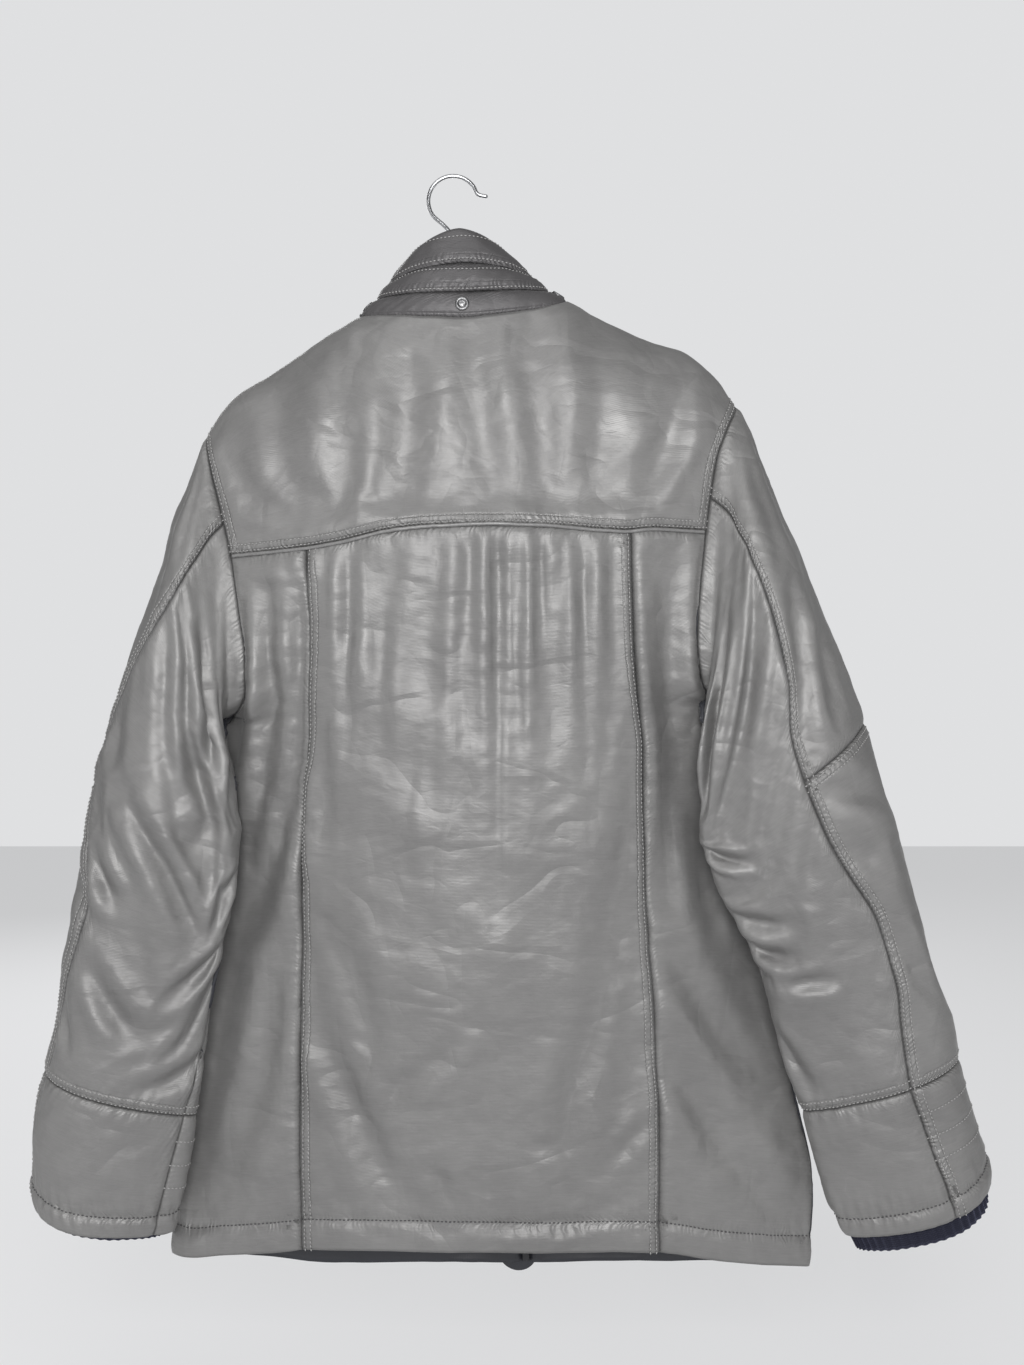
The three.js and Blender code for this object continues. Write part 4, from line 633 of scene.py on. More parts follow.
def makeSleeveGrid(side):
    arm = np.concatenate([backI[side][:-1], aroundArm - frontI[side][::-1][:-1]])
    n1, n2 = steps["topBack"], steps["toYoke"] + steps["lowBack"] + steps["lowFront"]
    n3 = steps["midFront"] + steps["topFront"]
    even = np.concatenate([
        np.linspace(0, backColumn, n1 + 1)[:-1],
        np.linspace(backColumn, frontColumn, n2 + 1)[:-1],
        np.linspace(frontColumn, aroundArm, n3 + 1)[:-1],
    ])
    s = sleeveRows[:, None]
    c = mix(arm[None], even[None], ease(np.clip(s / 1.6, 0, 1)))
    point, degrees = sleevePoint(side, c, s)
    return point, np.broadcast_to(s, degrees.shape).copy(), np.mod(degrees, 360)


# joining, refining and normals
flipped = {"front_left", "back_side_left", "sleeve_right"}


def gridFaces(rows, columns, closed, flip):
    r = np.arange(rows - 1)[:, None]
    c = np.arange(columns if closed else columns - 1)[None]
    n = (c + 1) % columns
    quad = [r * columns + c, (r + 1) * columns + c, (r + 1) * columns + n, r * columns + n]
    faces = np.stack(np.broadcast_arrays(*quad), axis=-1).reshape(-1, 4)
    return faces[:, ::-1] if flip else faces


def joinGrids(grids, near):
    # one vertex list for all the grids, in which each edge point takes the nearest one of an earlier grid
    starts, total = {}, 0
    for name, grid in grids.items():
        starts[name] = total
        total += grid.shape[0] * grid.shape[1]
    points = np.concatenate([grid.reshape(-1, 3) for grid in grids.values()])
    sizes = [grid.shape[0] * grid.shape[1] for grid in grids.values()]
    gridOf = np.repeat(np.arange(len(sizes)), sizes)
    edge = []
    for name, grid in grids.items():
        rows, columns = grid.shape[:2]
        index = np.arange(rows * columns).reshape(rows, columns) + starts[name]
        rim = [index[0], index[-1]]
        if not name.startswith("sleeve"):
            rim += [index[:, 0], index[:, -1]]
        edge.extend(np.unique(np.concatenate(rim)).tolist())
    tree = KDTree(len(edge))
    for k, v in enumerate(edge):
        tree.insert(points[v], k)
    tree.balance()
    owner = np.arange(total)
    for v in edge:
        around = tree.find_range(points[v], near)
        close = [(d, edge[j]) for _, j, d in around if gridOf[edge[j]] < gridOf[v]]
        if close:
            owner[v] = owner[min(close)[1]]
    kept, index = np.unique(owner, return_inverse=True)
    index = index.reshape(-1)
    joined = np.zeros((len(kept), 3))
    np.add.at(joined, index, points)
    joined /= np.bincount(index)[:, None]
    maps, faces = {}, []
    for name, grid in grids.items():
        rows, columns = grid.shape[:2]
        maps[name] = index[starts[name] : starts[name] + rows * columns].reshape(rows, columns)
        quads = gridFaces(rows, columns, name.startswith("sleeve"), name in flipped)
        faces.append(maps[name].reshape(-1)[quads])
    return joined, maps, np.concatenate(faces)


def pointNormals(points, faces):
    a, b, c, d = (points[faces[:, k]] for k in range(4))
    spanned = np.cross(c - a, d - b)
    normals = np.zeros_like(points)
    for k in range(4):
        np.add.at(normals, faces[:, k], spanned)
    return normals / np.maximum(np.linalg.norm(normals, axis=1, keepdims=True), 1e-12)


def refineLine(grid, closed):
    # a point between each two along the first axis, on a smooth curve through four
    if closed:
        padded = np.concatenate([grid[-1:], grid, grid[:2]])
    else:
        padded = np.concatenate([2 * grid[:1] - grid[1:2], grid, 2 * grid[-1:] - grid[-2:-1]])
    middle = (9 * (padded[1:-2] + padded[2:-1]) - padded[:-3] - padded[3:]) / 16
    count = len(grid) * 2 - (0 if closed else 1)
    out = np.empty((count,) + grid.shape[1:])
    out[::2] = grid
    out[1::2] = middle
    return out


def refineGrid(grid, closed):
    fine = refineLine(grid, False)
    return np.swapaxes(refineLine(np.swapaxes(fine, 0, 1), closed), 0, 1)


def smoothNoise(points, scale, seed):
    # value noise from -1 to 1, of the given size in millimetres
    table = np.random.default_rng(seed).uniform(-1, 1, (32, 32, 32))
    q = points / np.asarray(scale)
    cell = np.floor(q).astype(int)
    t = ease(q - cell)
    total = 0
    for corner in np.ndindex(2, 2, 2):
        weight = np.prod([t[..., k] if on else 1 - t[..., k] for k, on in enumerate(corner)], axis=0)
        total = total + weight * table[tuple((cell[..., k] + on) % 32 for k, on in enumerate(corner))]
    return total


def turned(points, degrees):
    # points turned in the XZ plane, so that noise stretched along an axis runs aslant
    c, s = math.cos(math.radians(degrees)), math.sin(math.radians(degrees))
    x, y, z = points[..., 0], points[..., 1], points[..., 2]
    return np.stack([c * x + s * z, y, c * z - s * x], axis=-1)


# folds
# each row: points of a trough, then its width and depth in millimetres
backFolds = [
    ([(-75, -306), (-92, -450)], 9, 3.4),
    ([(-46, -302), (-56, -432)], 8, 3.0),
    ([(-18, -300), (-24, -500)], 9, 3.2),
    ([(12, -299), (10, -410)], 8, 2.6),
    ([(40, -299), (47, -470)], 10, 3.0),
    ([(72, -300), (86, -452)], 9, 3.0),
    ([(101, -301), (114, -400)], 8, 2.4),
    ([(-101, -313), (-106, -540)], 8, 3.6),
    ([(130, -302), (138, -430)], 8, 2.8),
    ([(-150, -352), (-147, -440), (-156, -506), (-172, -575)], 8, 12.0),
    ([(-121, -350), (-129, -472), (-146, -561), (-166, -632)], 12, 11.0),
    ([(-165, -560), (-186, -650), (-200, -760)], 12, 4.5),
    ([(-142, -640), (-160, -760), (-186, -850)], 12, 4.0),
    ([(183, -320), (180, -420), (184, -520), (178, -610)], 12, 7.5),
    ([(200, -450), (208, -560), (226, -660)], 10, 5.0),
    ([(172, -723), (205, -775), (251, -845)], 13, 5.0),
    ([(182, -650), (222, -716), (262, -760)], 12, 3.5),
    ([(162, -788), (138, -816)], 6, 2.4),
    ([(-115, -706), (-85, -764), (-50, -842)], 11, 5.0),
    ([(22, -703), (-20, -742), (-70, -778)], 9, 3.0),
    ([(-12, -818), (-2, -852)], 7, 2.8),
    ([(60, -804), (92, -806)], 6, 2.0),
    ([(120, -690), (98, -760), (104, -830)], 11, 2.6),
    ([(-100, -600), (-70, -680), (-64, -730)], 11, 2.4),
    ([(192, -172), (163, -290)], 11, 4.5),
    ([(128, -150), (120, -286)], 12, 2.6),
    ([(66, -140), (82, -290)], 13, 2.4),
    ([(20, -150), (34, -288)], 12, 2.4),
    ([(-30, -146), (-40, -290)], 13, 2.6),
    ([(-84, -150), (-92, -296)], 12, 2.8),
    ([(-140, -185), (-132, -306)], 12, 3.0),
    ([(-183, -214), (-160, -312)], 10, 2.6),
]
frontFolds = [
    ([(-150, -330), (-120, -470), (-128, -640)], 14, 6.0),
    ([(-178, -430), (-150, -520)], 11, 6.0),
    ([(-90, -240), (-76, -420)], 14, 4.0),
    ([(-60, -560), (-84, -700), (-76, -860)], 14, 4.0),
    ([(-180, -600), (-150, -760), (-160, -880)], 15, 5.0),
    ([(190, -330), (160, -450), (170, -620)], 14, 6.0),
    ([(212, -430), (184, -540)], 11, 6.0),
    ([(120, -240), (110, -430)], 14, 4.0),
    ([(130, -560), (120, -700), (144, -850)], 14, 4.0),
    ([(230, -620), (200, -760), (230, -890)], 15, 5.0),
]
# the same on a sleeve: station along it and degrees round it
sleeveFolds = {
    "left": [
        ([(1.3, 106), (2.7, 130), (4.0, 119), (5.1, 104)], 12, 8.0),
        ([(2.4, 92), (3.8, 98), (5.4, 128), (6.4, 112)], 10, 5.0),
        ([(5.8, 58), (6.75, 96), (8.0, 131)], 9, 8.0),
        ([(7.1, 36), (7.75, 68)], 7, 5.5),
        ([(7.5, 22), (8.2, 52)], 7, 4.0),
        ([(8.9, 52), (10.2, 98)], 9, 5.5),
        ([(8.1, 178), (9.4, 117)], 8, 6.0),
        ([(10.7, 178), (11.6, 104)], 8, 4.5),
        ([(6.3, 178), (7.0, 150), (7.9, 146)], 8, 5.0),
        ([(4.5, 30), (5.6, 46)], 9, 3.0),
        ([(9.7, 30), (10.8, 50)], 8, 3.0),
        ([(2.4, 60), (4.4, 78)], 12, 3.0),
        ([(4.2, 225), (5.6, 262), (6.4, 310)], 10, 7.0),
        ([(6.6, 200), (7.4, 250), (7.8, 300)], 10, 6.0),
        ([(8.4, 220), (9.4, 290)], 10, 5.0),
        ([(10.2, 210), (11, 280)], 10, 4.0),
        ([(1.4, 250), (3.4, 225)], 11, 6.0),
    ],
    "right": [
        ([(1.2, 110), (2.8, 150), (4.2, 168)], 10, 8.0),
        ([(2.0, 70), (3.4, 100), (4.6, 130)], 11, 5.0),
        ([(5.7, 178), (6.4, 150), (6.9, 128)], 6, 7.0),
        ([(8.0, 172), (8.7, 116)], 8, 6.0),
        ([(8.9, 176), (9.4, 128)], 7, 5.0),
        ([(9.9, 140), (9.9, 98)], 6, 4.5),
        ([(11.0, 170), (11.7, 140)], 8, 4.0),
        ([(3.25, 48), (4.4, 66), (5.5, 78)], 9, 4.5),
        ([(4.4, 40), (5.6, 54)], 8, 3.4),
        ([(6.4, 70), (6.9, 46), (7.2, 22)], 8, 4.0),
        ([(7.4, 74), (8.2, 52)], 8, 3.4),
        ([(9.2, 60), (10.4, 40)], 9, 3.2),
        ([(7.2, 100), (8.0, 96)], 9, 3.0),
        ([(4.2, 225), (5.6, 262), (6.4, 310)], 10, 7.0),
        ([(6.6, 200), (7.4, 250), (7.8, 300)], 10, 6.0),
        ([(8.4, 220), (9.4, 290)], 10, 5.0),
        ([(10.2, 210), (11, 280)], 10, 4.0),
        ([(1.4, 250), (3.4, 225)], 11, 6.0),
    ],
}
gatherRule = {"count": 12, "depth": 2.0, "peak": 26, "fade": 210, "from": -114, "to": 145}


def troughs(rows, u, v):
    total = np.zeros(np.broadcast_shapes(u.shape, v.shape))
    for line, width, depth in rows:
        pts = np.array(line, float)
        lengths = np.linalg.norm(np.diff(pts, axis=0), axis=1)
        whole = lengths.sum()
        near = np.full(total.shape, 1e9)
        share = np.zeros(total.shape)
        done = 0.0
        for k, length in enumerate(lengths):
            d = (pts[k + 1] - pts[k]) / length
            t = np.clip((u - pts[k, 0]) * d[0] + (v - pts[k, 1]) * d[1], 0, length)
            away = np.hypot(u - pts[k, 0] - t * d[0], v - pts[k, 1] - t * d[1])
            closer = away < near
            near = np.where(closer, away, near)
            share = np.where(closer, (done + t) / whole, share)
            done += length
        fade = np.sin(math.pi * mix(0.07, 0.93, share)) ** 0.8
        q = near / width
        total += depth * fade * (-np.exp(-q * q) + 0.5 * np.exp(-((q - 2.0) ** 2)))
    return total


def gathers(x, z):
    below = yokeSeam(x) - z
    share = np.clip((x - gatherRule["from"]) / (gatherRule["to"] - gatherRule["from"]), 0, 1)
    rise = ease(np.clip(below / gatherRule["peak"], 0, 1))
    reach = gatherRule["fade"] * (1 + 0.5 * np.sin(share * 23))
    fall = 1 - ease(np.clip((below - gatherRule["peak"]) / reach, 0, 1))
    wave = np.sin(share * gatherRule["count"] * 2 * math.pi + 2.4 * np.sin(share * 9))
    return gatherRule["depth"] * wave * rise * fall * np.sin(math.pi * share) ** 0.5


def sleeveFlat(s, degrees):
    # millimetres along and round the sleeve, for the fold rows
    return s * 42.0, degrees * 1.25


def bodyFoldHeight(name, grid):
    x, y, z = grid[..., 0], grid[..., 1], grid[..., 2]
    if name.startswith("front"):
        return troughs(frontFolds, x, z)
    lift = troughs(backFolds, x, z)
    if name == "yoke_back":
        return lift * np.clip((-y - 12) / 14, 0, 1)  # none over the shoulder ridge
    return lift + gathers(x, z) if name == "back_centre" else lift


def sleeveFoldHeight(side, s, degrees):
    rows = []
    for line, width, depth in sleeveFolds[side]:
        rows.append(([sleeveFlat(a, b) for a, b in line], width, depth))
    u, v = sleeveFlat(s, degrees)
    total = troughs(rows, u, v)
    return total * np.clip(s / 0.8, 0, 1) * np.clip((cuffStation - s) / 0.5, 0, 1)


report("grids and folds ready")

# cloth settling
clothRule = {
    "frames": 16,
    "slack": (1.045, 1.03, 1.02),  # the cut is this much larger than the space that it hangs in
    "slackFrom": (20.0, 0, -560),
    "sleeveAxis": {"left": (-0.19, 0, -0.95), "right": (0.3, 0, -0.95)},
    "sleeveSlack": (1.05, 1.02),  # along the sleeve and across it
    "calmFoldEdge": 15,
    "stiffFrom": 11.6,  # the cuffs are stiff from this station on
    "stiffOver": 1.6,
    "bending": 0.35,
    "mostMove": 8.0,
    "weightOfGravity": 0.25,
}


def settleCloth(points, faces, held, rest):
    # lets the slack cloth buckle between its seams, and gives the settled points
    mesh = bpy.data.meshes.new("slackCloth")
    mesh.from_pydata((points * 0.001).tolist(), [], faces.tolist())
    cloth = bpy.data.objects.new("slackCloth", mesh)
    scene.collection.objects.link(cloth)
    group = cloth.vertex_groups.new(name="held")
    for weight in np.unique(np.round(held, 2)):
        if weight > 0:
            group.add(np.nonzero(np.abs(held - weight) < 0.006)[0].tolist(), float(weight), "REPLACE")
    cloth.shape_key_add(name="Basis")
    key = cloth.shape_key_add(name="cutSize")
    key.data.foreach_set("co", (rest * 0.001).astype(np.float32).ravel())
    key.value = 0
    modifier = cloth.modifiers.new("settle", "CLOTH")
    settings = modifier.settings
    settings.vertex_group_mass = "held"
    settings.rest_shape_key = key
    settings.quality = 5
    settings.mass = 0.2
    settings.tension_stiffness = 25
    settings.compression_stiffness = 25
    settings.shear_stiffness = 12
    settings.bending_stiffness = clothRule["bending"]
    settings.air_damping = 3
    settings.effector_weights.gravity = clothRule["weightOfGravity"]
    modifier.collision_settings.use_collision = False
    modifier.collision_settings.use_self_collision = False
    modifier.point_cache.frame_start = 1
    modifier.point_cache.frame_end = clothRule["frames"] + 1
    for number in range(1, clothRule["frames"] + 1):
        scene.frame_set(number)
    settled = cloth.evaluated_get(bpy.context.evaluated_depsgraph_get())
    out = np.empty(len(mesh.vertices) * 3, np.float32)
    settled.data.vertices.foreach_get("co", out)
    bpy.data.objects.remove(cloth)
    bpy.data.meshes.remove(mesh)
    scene.frame_set(1)
    moved = out.reshape(-1, 3) * 1000.0 - points
    length = np.linalg.norm(moved, axis=1, keepdims=True)
    most = clothRule["mostMove"]
    moved *= most * np.tanh(length / most) / np.maximum(length, 1e-9)
    return points + np.where(np.isfinite(moved), moved, 0)


def evenOut(values, faces, rounds):
    # each point's value is led towards the mean of its neighbours
    for _ in range(rounds):
        total, count = np.zeros_like(values), np.zeros(len(values))
        for a in range(4):
            for b in (1, 3):
                np.add.at(total, faces[:, a], values[faces[:, (a + b) % 4]])
                np.add.at(count, faces[:, a], 1)
        values = 0.5 * values + 0.5 * total / np.maximum(count, 1)[:, None]
    return values


foldFreeEdges = {
    "yoke_back": ("left", "right"),
    "back_centre": ("bottom",),
    "back_side_left": ("right",),
    "back_side_right": ("right",),
    "front_left": ("left", "right"),
    "front_right": ("left", "right"),
}


def edgeDistances(grid, closed):
    # distance from each of the four edges, and the length along the edge
    down = np.linalg.norm(np.diff(grid, axis=0), axis=-1)
    right = np.linalg.norm(np.diff(grid, axis=1), axis=-1)
    fromTop = np.concatenate([np.zeros((1, grid.shape[1])), np.cumsum(down, axis=0)])
    fromLeft = np.concatenate([np.zeros((grid.shape[0], 1)), np.cumsum(right, axis=1)], axis=1)
    return {
        "top": (fromTop, fromLeft),
        "bottom": (fromTop[-1:] - fromTop, fromLeft),
        "left": (fromLeft, fromTop),
        "right": (fromLeft[:, -1:] - fromLeft, fromTop),
    }


def makeShell():
    grids = {"yoke_back": makeYokeGrid(), **makeBackGrids(), **makeFrontGrids()}
    marks = {}
    for side in sideNames:
        grids["sleeve_" + side], *marks["sleeve_" + side] = makeSleeveGrid(side)
    points, maps, faces = joinGrids(grids, 0.9)
    normals = pointNormals(points, faces)
    lift, count = np.zeros(len(points)), np.zeros(len(points))
    for name, grid in grids.items():
        if name in marks:
            height = sleeveFoldHeight(name[7:], *marks[name])
        else:
            walked = edgeDistances(grid, False)
            near = np.minimum.reduce([walked[edge][0] for edge in foldFreeEdges[name]])
            height = bodyFoldHeight(name, grid) * ease(np.clip(near / clothRule["calmFoldEdge"], 0, 1))
        np.add.at(lift, maps[name], height)
        np.add.at(count, maps[name], 1)
    lift /= np.maximum(count, 1)
    held = np.zeros(len(points))
    for name, index in maps.items():
        if name in marks:
            held[index[0]] = 1
            held[index[sleeveRows >= cuffStation]] = 0.8
            held[index[-1]] = 1
            for column in (steps["topBack"], len(index[0]) - steps["midFront"] - steps["topFront"]):
                held[index[:, column]] = np.maximum(held[index[:, column]], 0.6)
        else:
            for rim in (index[0], index[-1], index[:, 0], index[:, -1]):
                held[rim] = 1
    free = evenOut(1 - np.minimum(held, 1)[:, None], faces, 1)[:, 0] * (1 - held)
    points = points + normals * (lift * np.where(held >= 1, 0, np.clip(free * 1.4, 0, 1)))[:, None]
    report("shell of %d points joined" % len(points))
    centre = np.array(clothRule["slackFrom"])
    rest = centre + (points - centre) * np.array(clothRule["slack"])
    slackAlong, slackAcross = clothRule["sleeveSlack"]
    loose = np.ones((len(points), 1))
    softRows = np.clip((clothRule["stiffFrom"] - sleeveRows) / clothRule["stiffOver"], 0, 1)
    for side in sideNames:
        index = np.unique(maps["sleeve_" + side][1:-1])
        part = points[index]
        middle = part.mean(axis=0)
        axis = np.array(clothRule["sleeveAxis"][side])
        axis /= np.linalg.norm(axis)
        along = ((part - middle) @ axis)[:, None] * axis
        rest[index] = middle + along * slackAlong + (part - middle - along) * slackAcross
        loose[maps["sleeve_" + side], 0] = ease(softRows)[:, None]
    settled = settleCloth(points, faces, held, rest)
    points = points + evenOut(settled - points, faces, 1) * loose
    report("cloth settled")
    return {name: points[index] for name, index in maps.items()}, marks


# seams
seamRule = {
    "groove": 1.5,
    "grooveWidth": 3.2,
    "pucker": 0.55,
    "puckerLength": 11.5,
    "puckerReach": 13.0,
    "puff": 1.1,
    "puffReach": 20.0,
}
crumple = {"large": 1.5, "middle": 0.8, "small": 0.28}
stitch = {
    "pitch": 0.0034,
    "length": 0.0024,
    "width": 0.0012,
    "height": 0.001,
    "rows": (3.3, 8.6),  # beside the seams of the outer side
    "innerRows": (1.6, 7.4),  # above the elbow and cuff seams
    "cuffRows": (22, 42, 61),
    "collarRows": (("upper", 4.2), ("upper", 25), ("middle", 3), ("middle", 20), ("base", 3)),
}
seamEdges = {
    "yoke_back": ("bottom", "left", "right"),
    "back_centre": ("top", "left", "right"),
    "back_side_left": ("top", "left", "right"),
    "back_side_right": ("top", "left", "right"),
    "front_left": ("left", "top"),
    "front_right": ("left", "top"),
}
hemRows = {"back_centre": 25.5}
hemRows.update((name, 25) for name in ("back_side_left", "back_side_right", "front_left", "front_right"))
cuffHem = 17

# rows and columns of the refined sleeve, at its elbow, cuff seam and end, and at its two seams
elbowRow, cuffRow, endRow = 92, 182, 222
backSeamColumn, frontSeamColumn, sleeveColumns = 26, 138, 166


def seamHeight(distance, along, seed):
    rule = seamRule
    sway = 3.1 * np.sin(along / 31 + seed) + 1.7 * np.sin(along / 12.7 + 2 * seed)
    wave = np.sin(2 * math.pi * along / rule["puckerLength"] + sway)
    strong = 0.55 + 0.45 * np.sin(along / 23 + 5 * seed)
    reach = np.exp(1 - distance / 5 - distance / rule["puckerReach"] * 0.6)
    pucker = rule["pucker"] * wave * strong * (distance / 5) * reach
    puff = rule["puff"] * (distance / rule["puffReach"]) * np.exp(1 - distance / rule["puffReach"])
    return pucker, puff, -rule["groove"] * np.exp(-((distance / rule["grooveWidth"]) ** 2))


def stitchLine(distance, along, seed):
    # a row of stitches sewn across the middle of a panel
    wave = np.sin(2 * math.pi * along / 10.5 + 2.6 * np.sin(along / 27 + seed))
    near = np.abs(distance)
    dip = -1.0 * np.exp(-((near / 3.4) ** 2))
    return dip + 0.55 * wave * (near / 5) * np.exp(1 - near / 5)


def sewnHeight(name, grid, s):
    closed = name.startswith("sleeve")
    edges = edgeDistances(grid, closed)
    grooves, total = np.zeros(grid.shape[:2]), np.zeros(grid.shape[:2])
    if not closed:
        for k, edge in enumerate(seamEdges[name]):
            pucker, puff, groove = seamHeight(*edges[edge], k + len(name))
            total += pucker + puff * 0.6
            grooves = np.minimum(grooves, groove)
        if name in hemRows:
            distance, along = edges["bottom"]
            total += stitchLine(distance - hemRows[name], along, 3)
            total += 1.3 * np.sin(math.pi * np.clip(distance / hemRows[name], 0, 1))
        return total + grooves
    lengthDown, lengthRound = edges["top"][0], edges["left"][0]
    whole = lengthRound[:, -1:] + np.linalg.norm(grid[:, -1:] - grid[:, :1], axis=-1)
    for column in (backSeamColumn, frontSeamColumn):
        distance = np.abs(lengthRound - lengthRound[:, column : column + 1])
        distance = np.minimum(distance, whole - distance)
        pucker, puff, groove = seamHeight(distance, lengthDown, column)
        total += pucker + puff * 0.5
        grooves = np.minimum(grooves, groove)
    for station, part in ((0, "all"), (elbowStation, "top"), (cuffStation, "all")):
        row = int(np.argmin(np.abs(s[:, 0] - station)))
        distance = np.abs(lengthDown - lengthDown[row : row + 1])
        pucker, puff, groove = seamHeight(distance, lengthRound, station + 2)
        mask = 1.0
        if part == "top":
            mask = np.ones((1, sleeveColumns))
            mask[:, backSeamColumn:frontSeamColumn] = 0
        total += (pucker + puff * 0.5) * mask
        grooves = np.minimum(grooves, groove * mask)
    fromEnd = lengthDown[-1:] - lengthDown
    total += stitchLine(fromEnd - cuffHem, lengthRound, 1)
    total += 1.4 * np.sin(math.pi * np.clip(fromEnd / cuffHem, 0, 1))
    return total + grooves


def finishShell(grids, marks):
    fine, fineMarks = {}, {}
    for name, grid in grids.items():
        closed = name.startswith("sleeve")
        fine[name] = refineGrid(grid, closed)
        if closed:
            fineMarks[name] = refineLine(np.repeat(marks[name][0][:, :1], 2, axis=1), False)
    points, maps, faces = joinGrids(fine, 1.1)
    normals = pointNormals(points, faces)
    lift, count = np.zeros(len(points)), np.zeros(len(points))
    for name, index in maps.items():
        height = sewnHeight(name, points[index], fineMarks.get(name))
        np.add.at(lift, index, height)
        np.add.at(count, index, 1)
    lift /= np.maximum(count, 1)
    slant, steep = turned(points, 24), turned(points, -38)
    large = smoothNoise(steep, (62, 50, 34), 3)
    middle = 1 - 2 * np.abs(smoothNoise(slant, (34, 30, 19), 5))
    small = 1 - 2 * np.abs(smoothNoise(turned(points, -12), (15, 13, 9), 9))
    middle = middle * np.clip(0.5 + large, 0, 1)
    lift += crumple["large"] * large + crumple["middle"] * middle + crumple["small"] * small
    points = points + normals * lift[:, None]
    report("seams and creases raised on %d points" % len(points))
    return {name: points[index] for name, index in maps.items()}


# pieces
thinning = {"reach": 16, "least": 0.08}  # a wall gets thin beside its seams, so that the lining stays inside


def newPiece(name, mesh):
    mesh.polygons.foreach_set("use_smooth", np.ones(len(mesh.polygons), bool))
    piece = bpy.data.objects.new(name, mesh)
    scene.collection.objects.link(piece)
    return piece


def declare(piece, nodes=()):
    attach(piece, "root")
    if nodes:
        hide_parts(*nodes)
    return piece


farPlace = (99.0, 0, 0)  # what a point far from every seam has as its seam place


def markPlaces(mesh, name, vectors):
    mark = mesh.attributes.new(name, "FLOAT_VECTOR", "POINT")
    mark.data.foreach_set("vector", vectors.astype(np.float32).ravel())


def loopPoints(mesh):
    loops = np.empty(len(mesh.loops), int)
    mesh.loops.foreach_get("vertex_index", loops)
    return loops


def layUv(mesh, u, v):
    layer = mesh.uv_layers.new(name="weave")
    layer.data.foreach_set("uv", np.stack([u, v], axis=-1).astype(np.float32).ravel())


def makeGridPiece(name, grid, materials, wall=0.0028, closed=False, flip=False,
                  nodes=(), sewn=None, thinAt=()):
    rows, columns = grid.shape[:2]
    faces = gridFaces(rows, columns, closed, flip)
    mesh = bpy.data.meshes.new(name)
    mesh.from_pydata((grid.reshape(-1, 3) * 0.001).tolist(), [], faces.tolist())
    down = np.linalg.norm(np.diff(grid, axis=0), axis=-1).mean(axis=1)
    right = np.linalg.norm(np.diff(grid, axis=1), axis=-1).mean(axis=0)
    v = np.concatenate([[0], np.cumsum(down)]) * 0.001
    u = np.concatenate([[0], np.cumsum(right), [right.sum() + right.mean()]]) * 0.001
    loops = loopPoints(mesh)
    columnOf, rowOf = loops % columns, loops // columns
    if closed:
        first = columnOf.reshape(-1, 4)
        wraps = (first.max(axis=1) == columns - 1) & (first.min(axis=1) == 0)
        columnOf = np.where(np.repeat(wraps, 4) & (columnOf == 0), columns, columnOf)
    layUv(mesh, u[columnOf], v[rowOf])
    markPlaces(mesh, "seamPlace", np.tile(farPlace, (rows * columns, 1)) if sewn is None else sewn)
    for material in materials:
        mesh.materials.append(material)
    piece = newPiece(name, mesh)
    if wall:
        solid = piece.modifiers.new("wall", "SOLIDIFY")
        solid.thickness = wall
        solid.offset = -1
        solid.use_even_offset = False
        solid.use_rim = True
        if len(materials) > 1:
            solid.material_offset = 1
        if thinAt:
            walked = edgeDistances(grid, False)
            near = np.minimum.reduce([walked[edge][0] for edge in thinAt])
            group = piece.vertex_groups.new(name="wallShare")
            shares = np.clip(near / thinning["reach"], thinning["least"], 1)
            for index, share in enumerate(shares.ravel().tolist()):
                group.add([index], share, "REPLACE")
            solid.vertex_group = group.name
    return declare(piece, nodes)


def gridNormals(grid, closed, flip):
    # unit normals of a grid, facing out of the jacket
    if closed:
        right = np.roll(grid, -1, axis=1) - np.roll(grid, 1, axis=1)
    else:
        right = np.gradient(grid, axis=1)
    down = np.gradient(grid, axis=0)
    out = np.cross(down, right) * (-1 if flip else 1)
    return out / np.maximum(np.linalg.norm(out, axis=-1, keepdims=True), 1e-9)


def lineFromEdge(grid, edge, distance, lift=0.25, flip=False):
    # a line over the cloth at a set distance from one edge of its grid
    normals = gridNormals(grid, False, flip)
    if edge in ("left", "right"):
        grid, normals = np.swapaxes(grid, 0, 1), np.swapaxes(normals, 0, 1)
    if edge in ("bottom", "right"):
        grid, normals = grid[::-1], normals[::-1]
    lengths = np.linalg.norm(np.diff(grid, axis=0), axis=-1)
    walked = np.concatenate([np.zeros((1, grid.shape[1])), np.cumsum(lengths, axis=0)])
    i = np.clip((walked < distance).sum(axis=0) - 1, 0, len(grid) - 2)
    k = np.arange(grid.shape[1])
    t = np.clip((distance - walked[i, k]) / np.maximum(lengths[i, k], 1e-6), 0, 1)[:, None]
    return mix(grid[i, k], grid[i + 1, k], t) + lift * mix(normals[i, k], normals[i + 1, k], t)


# small bodies set along lines by Geometry Nodes
def linkNodes(tree, *pairs):
    for source, target in pairs:
        tree.links.new(source, target)


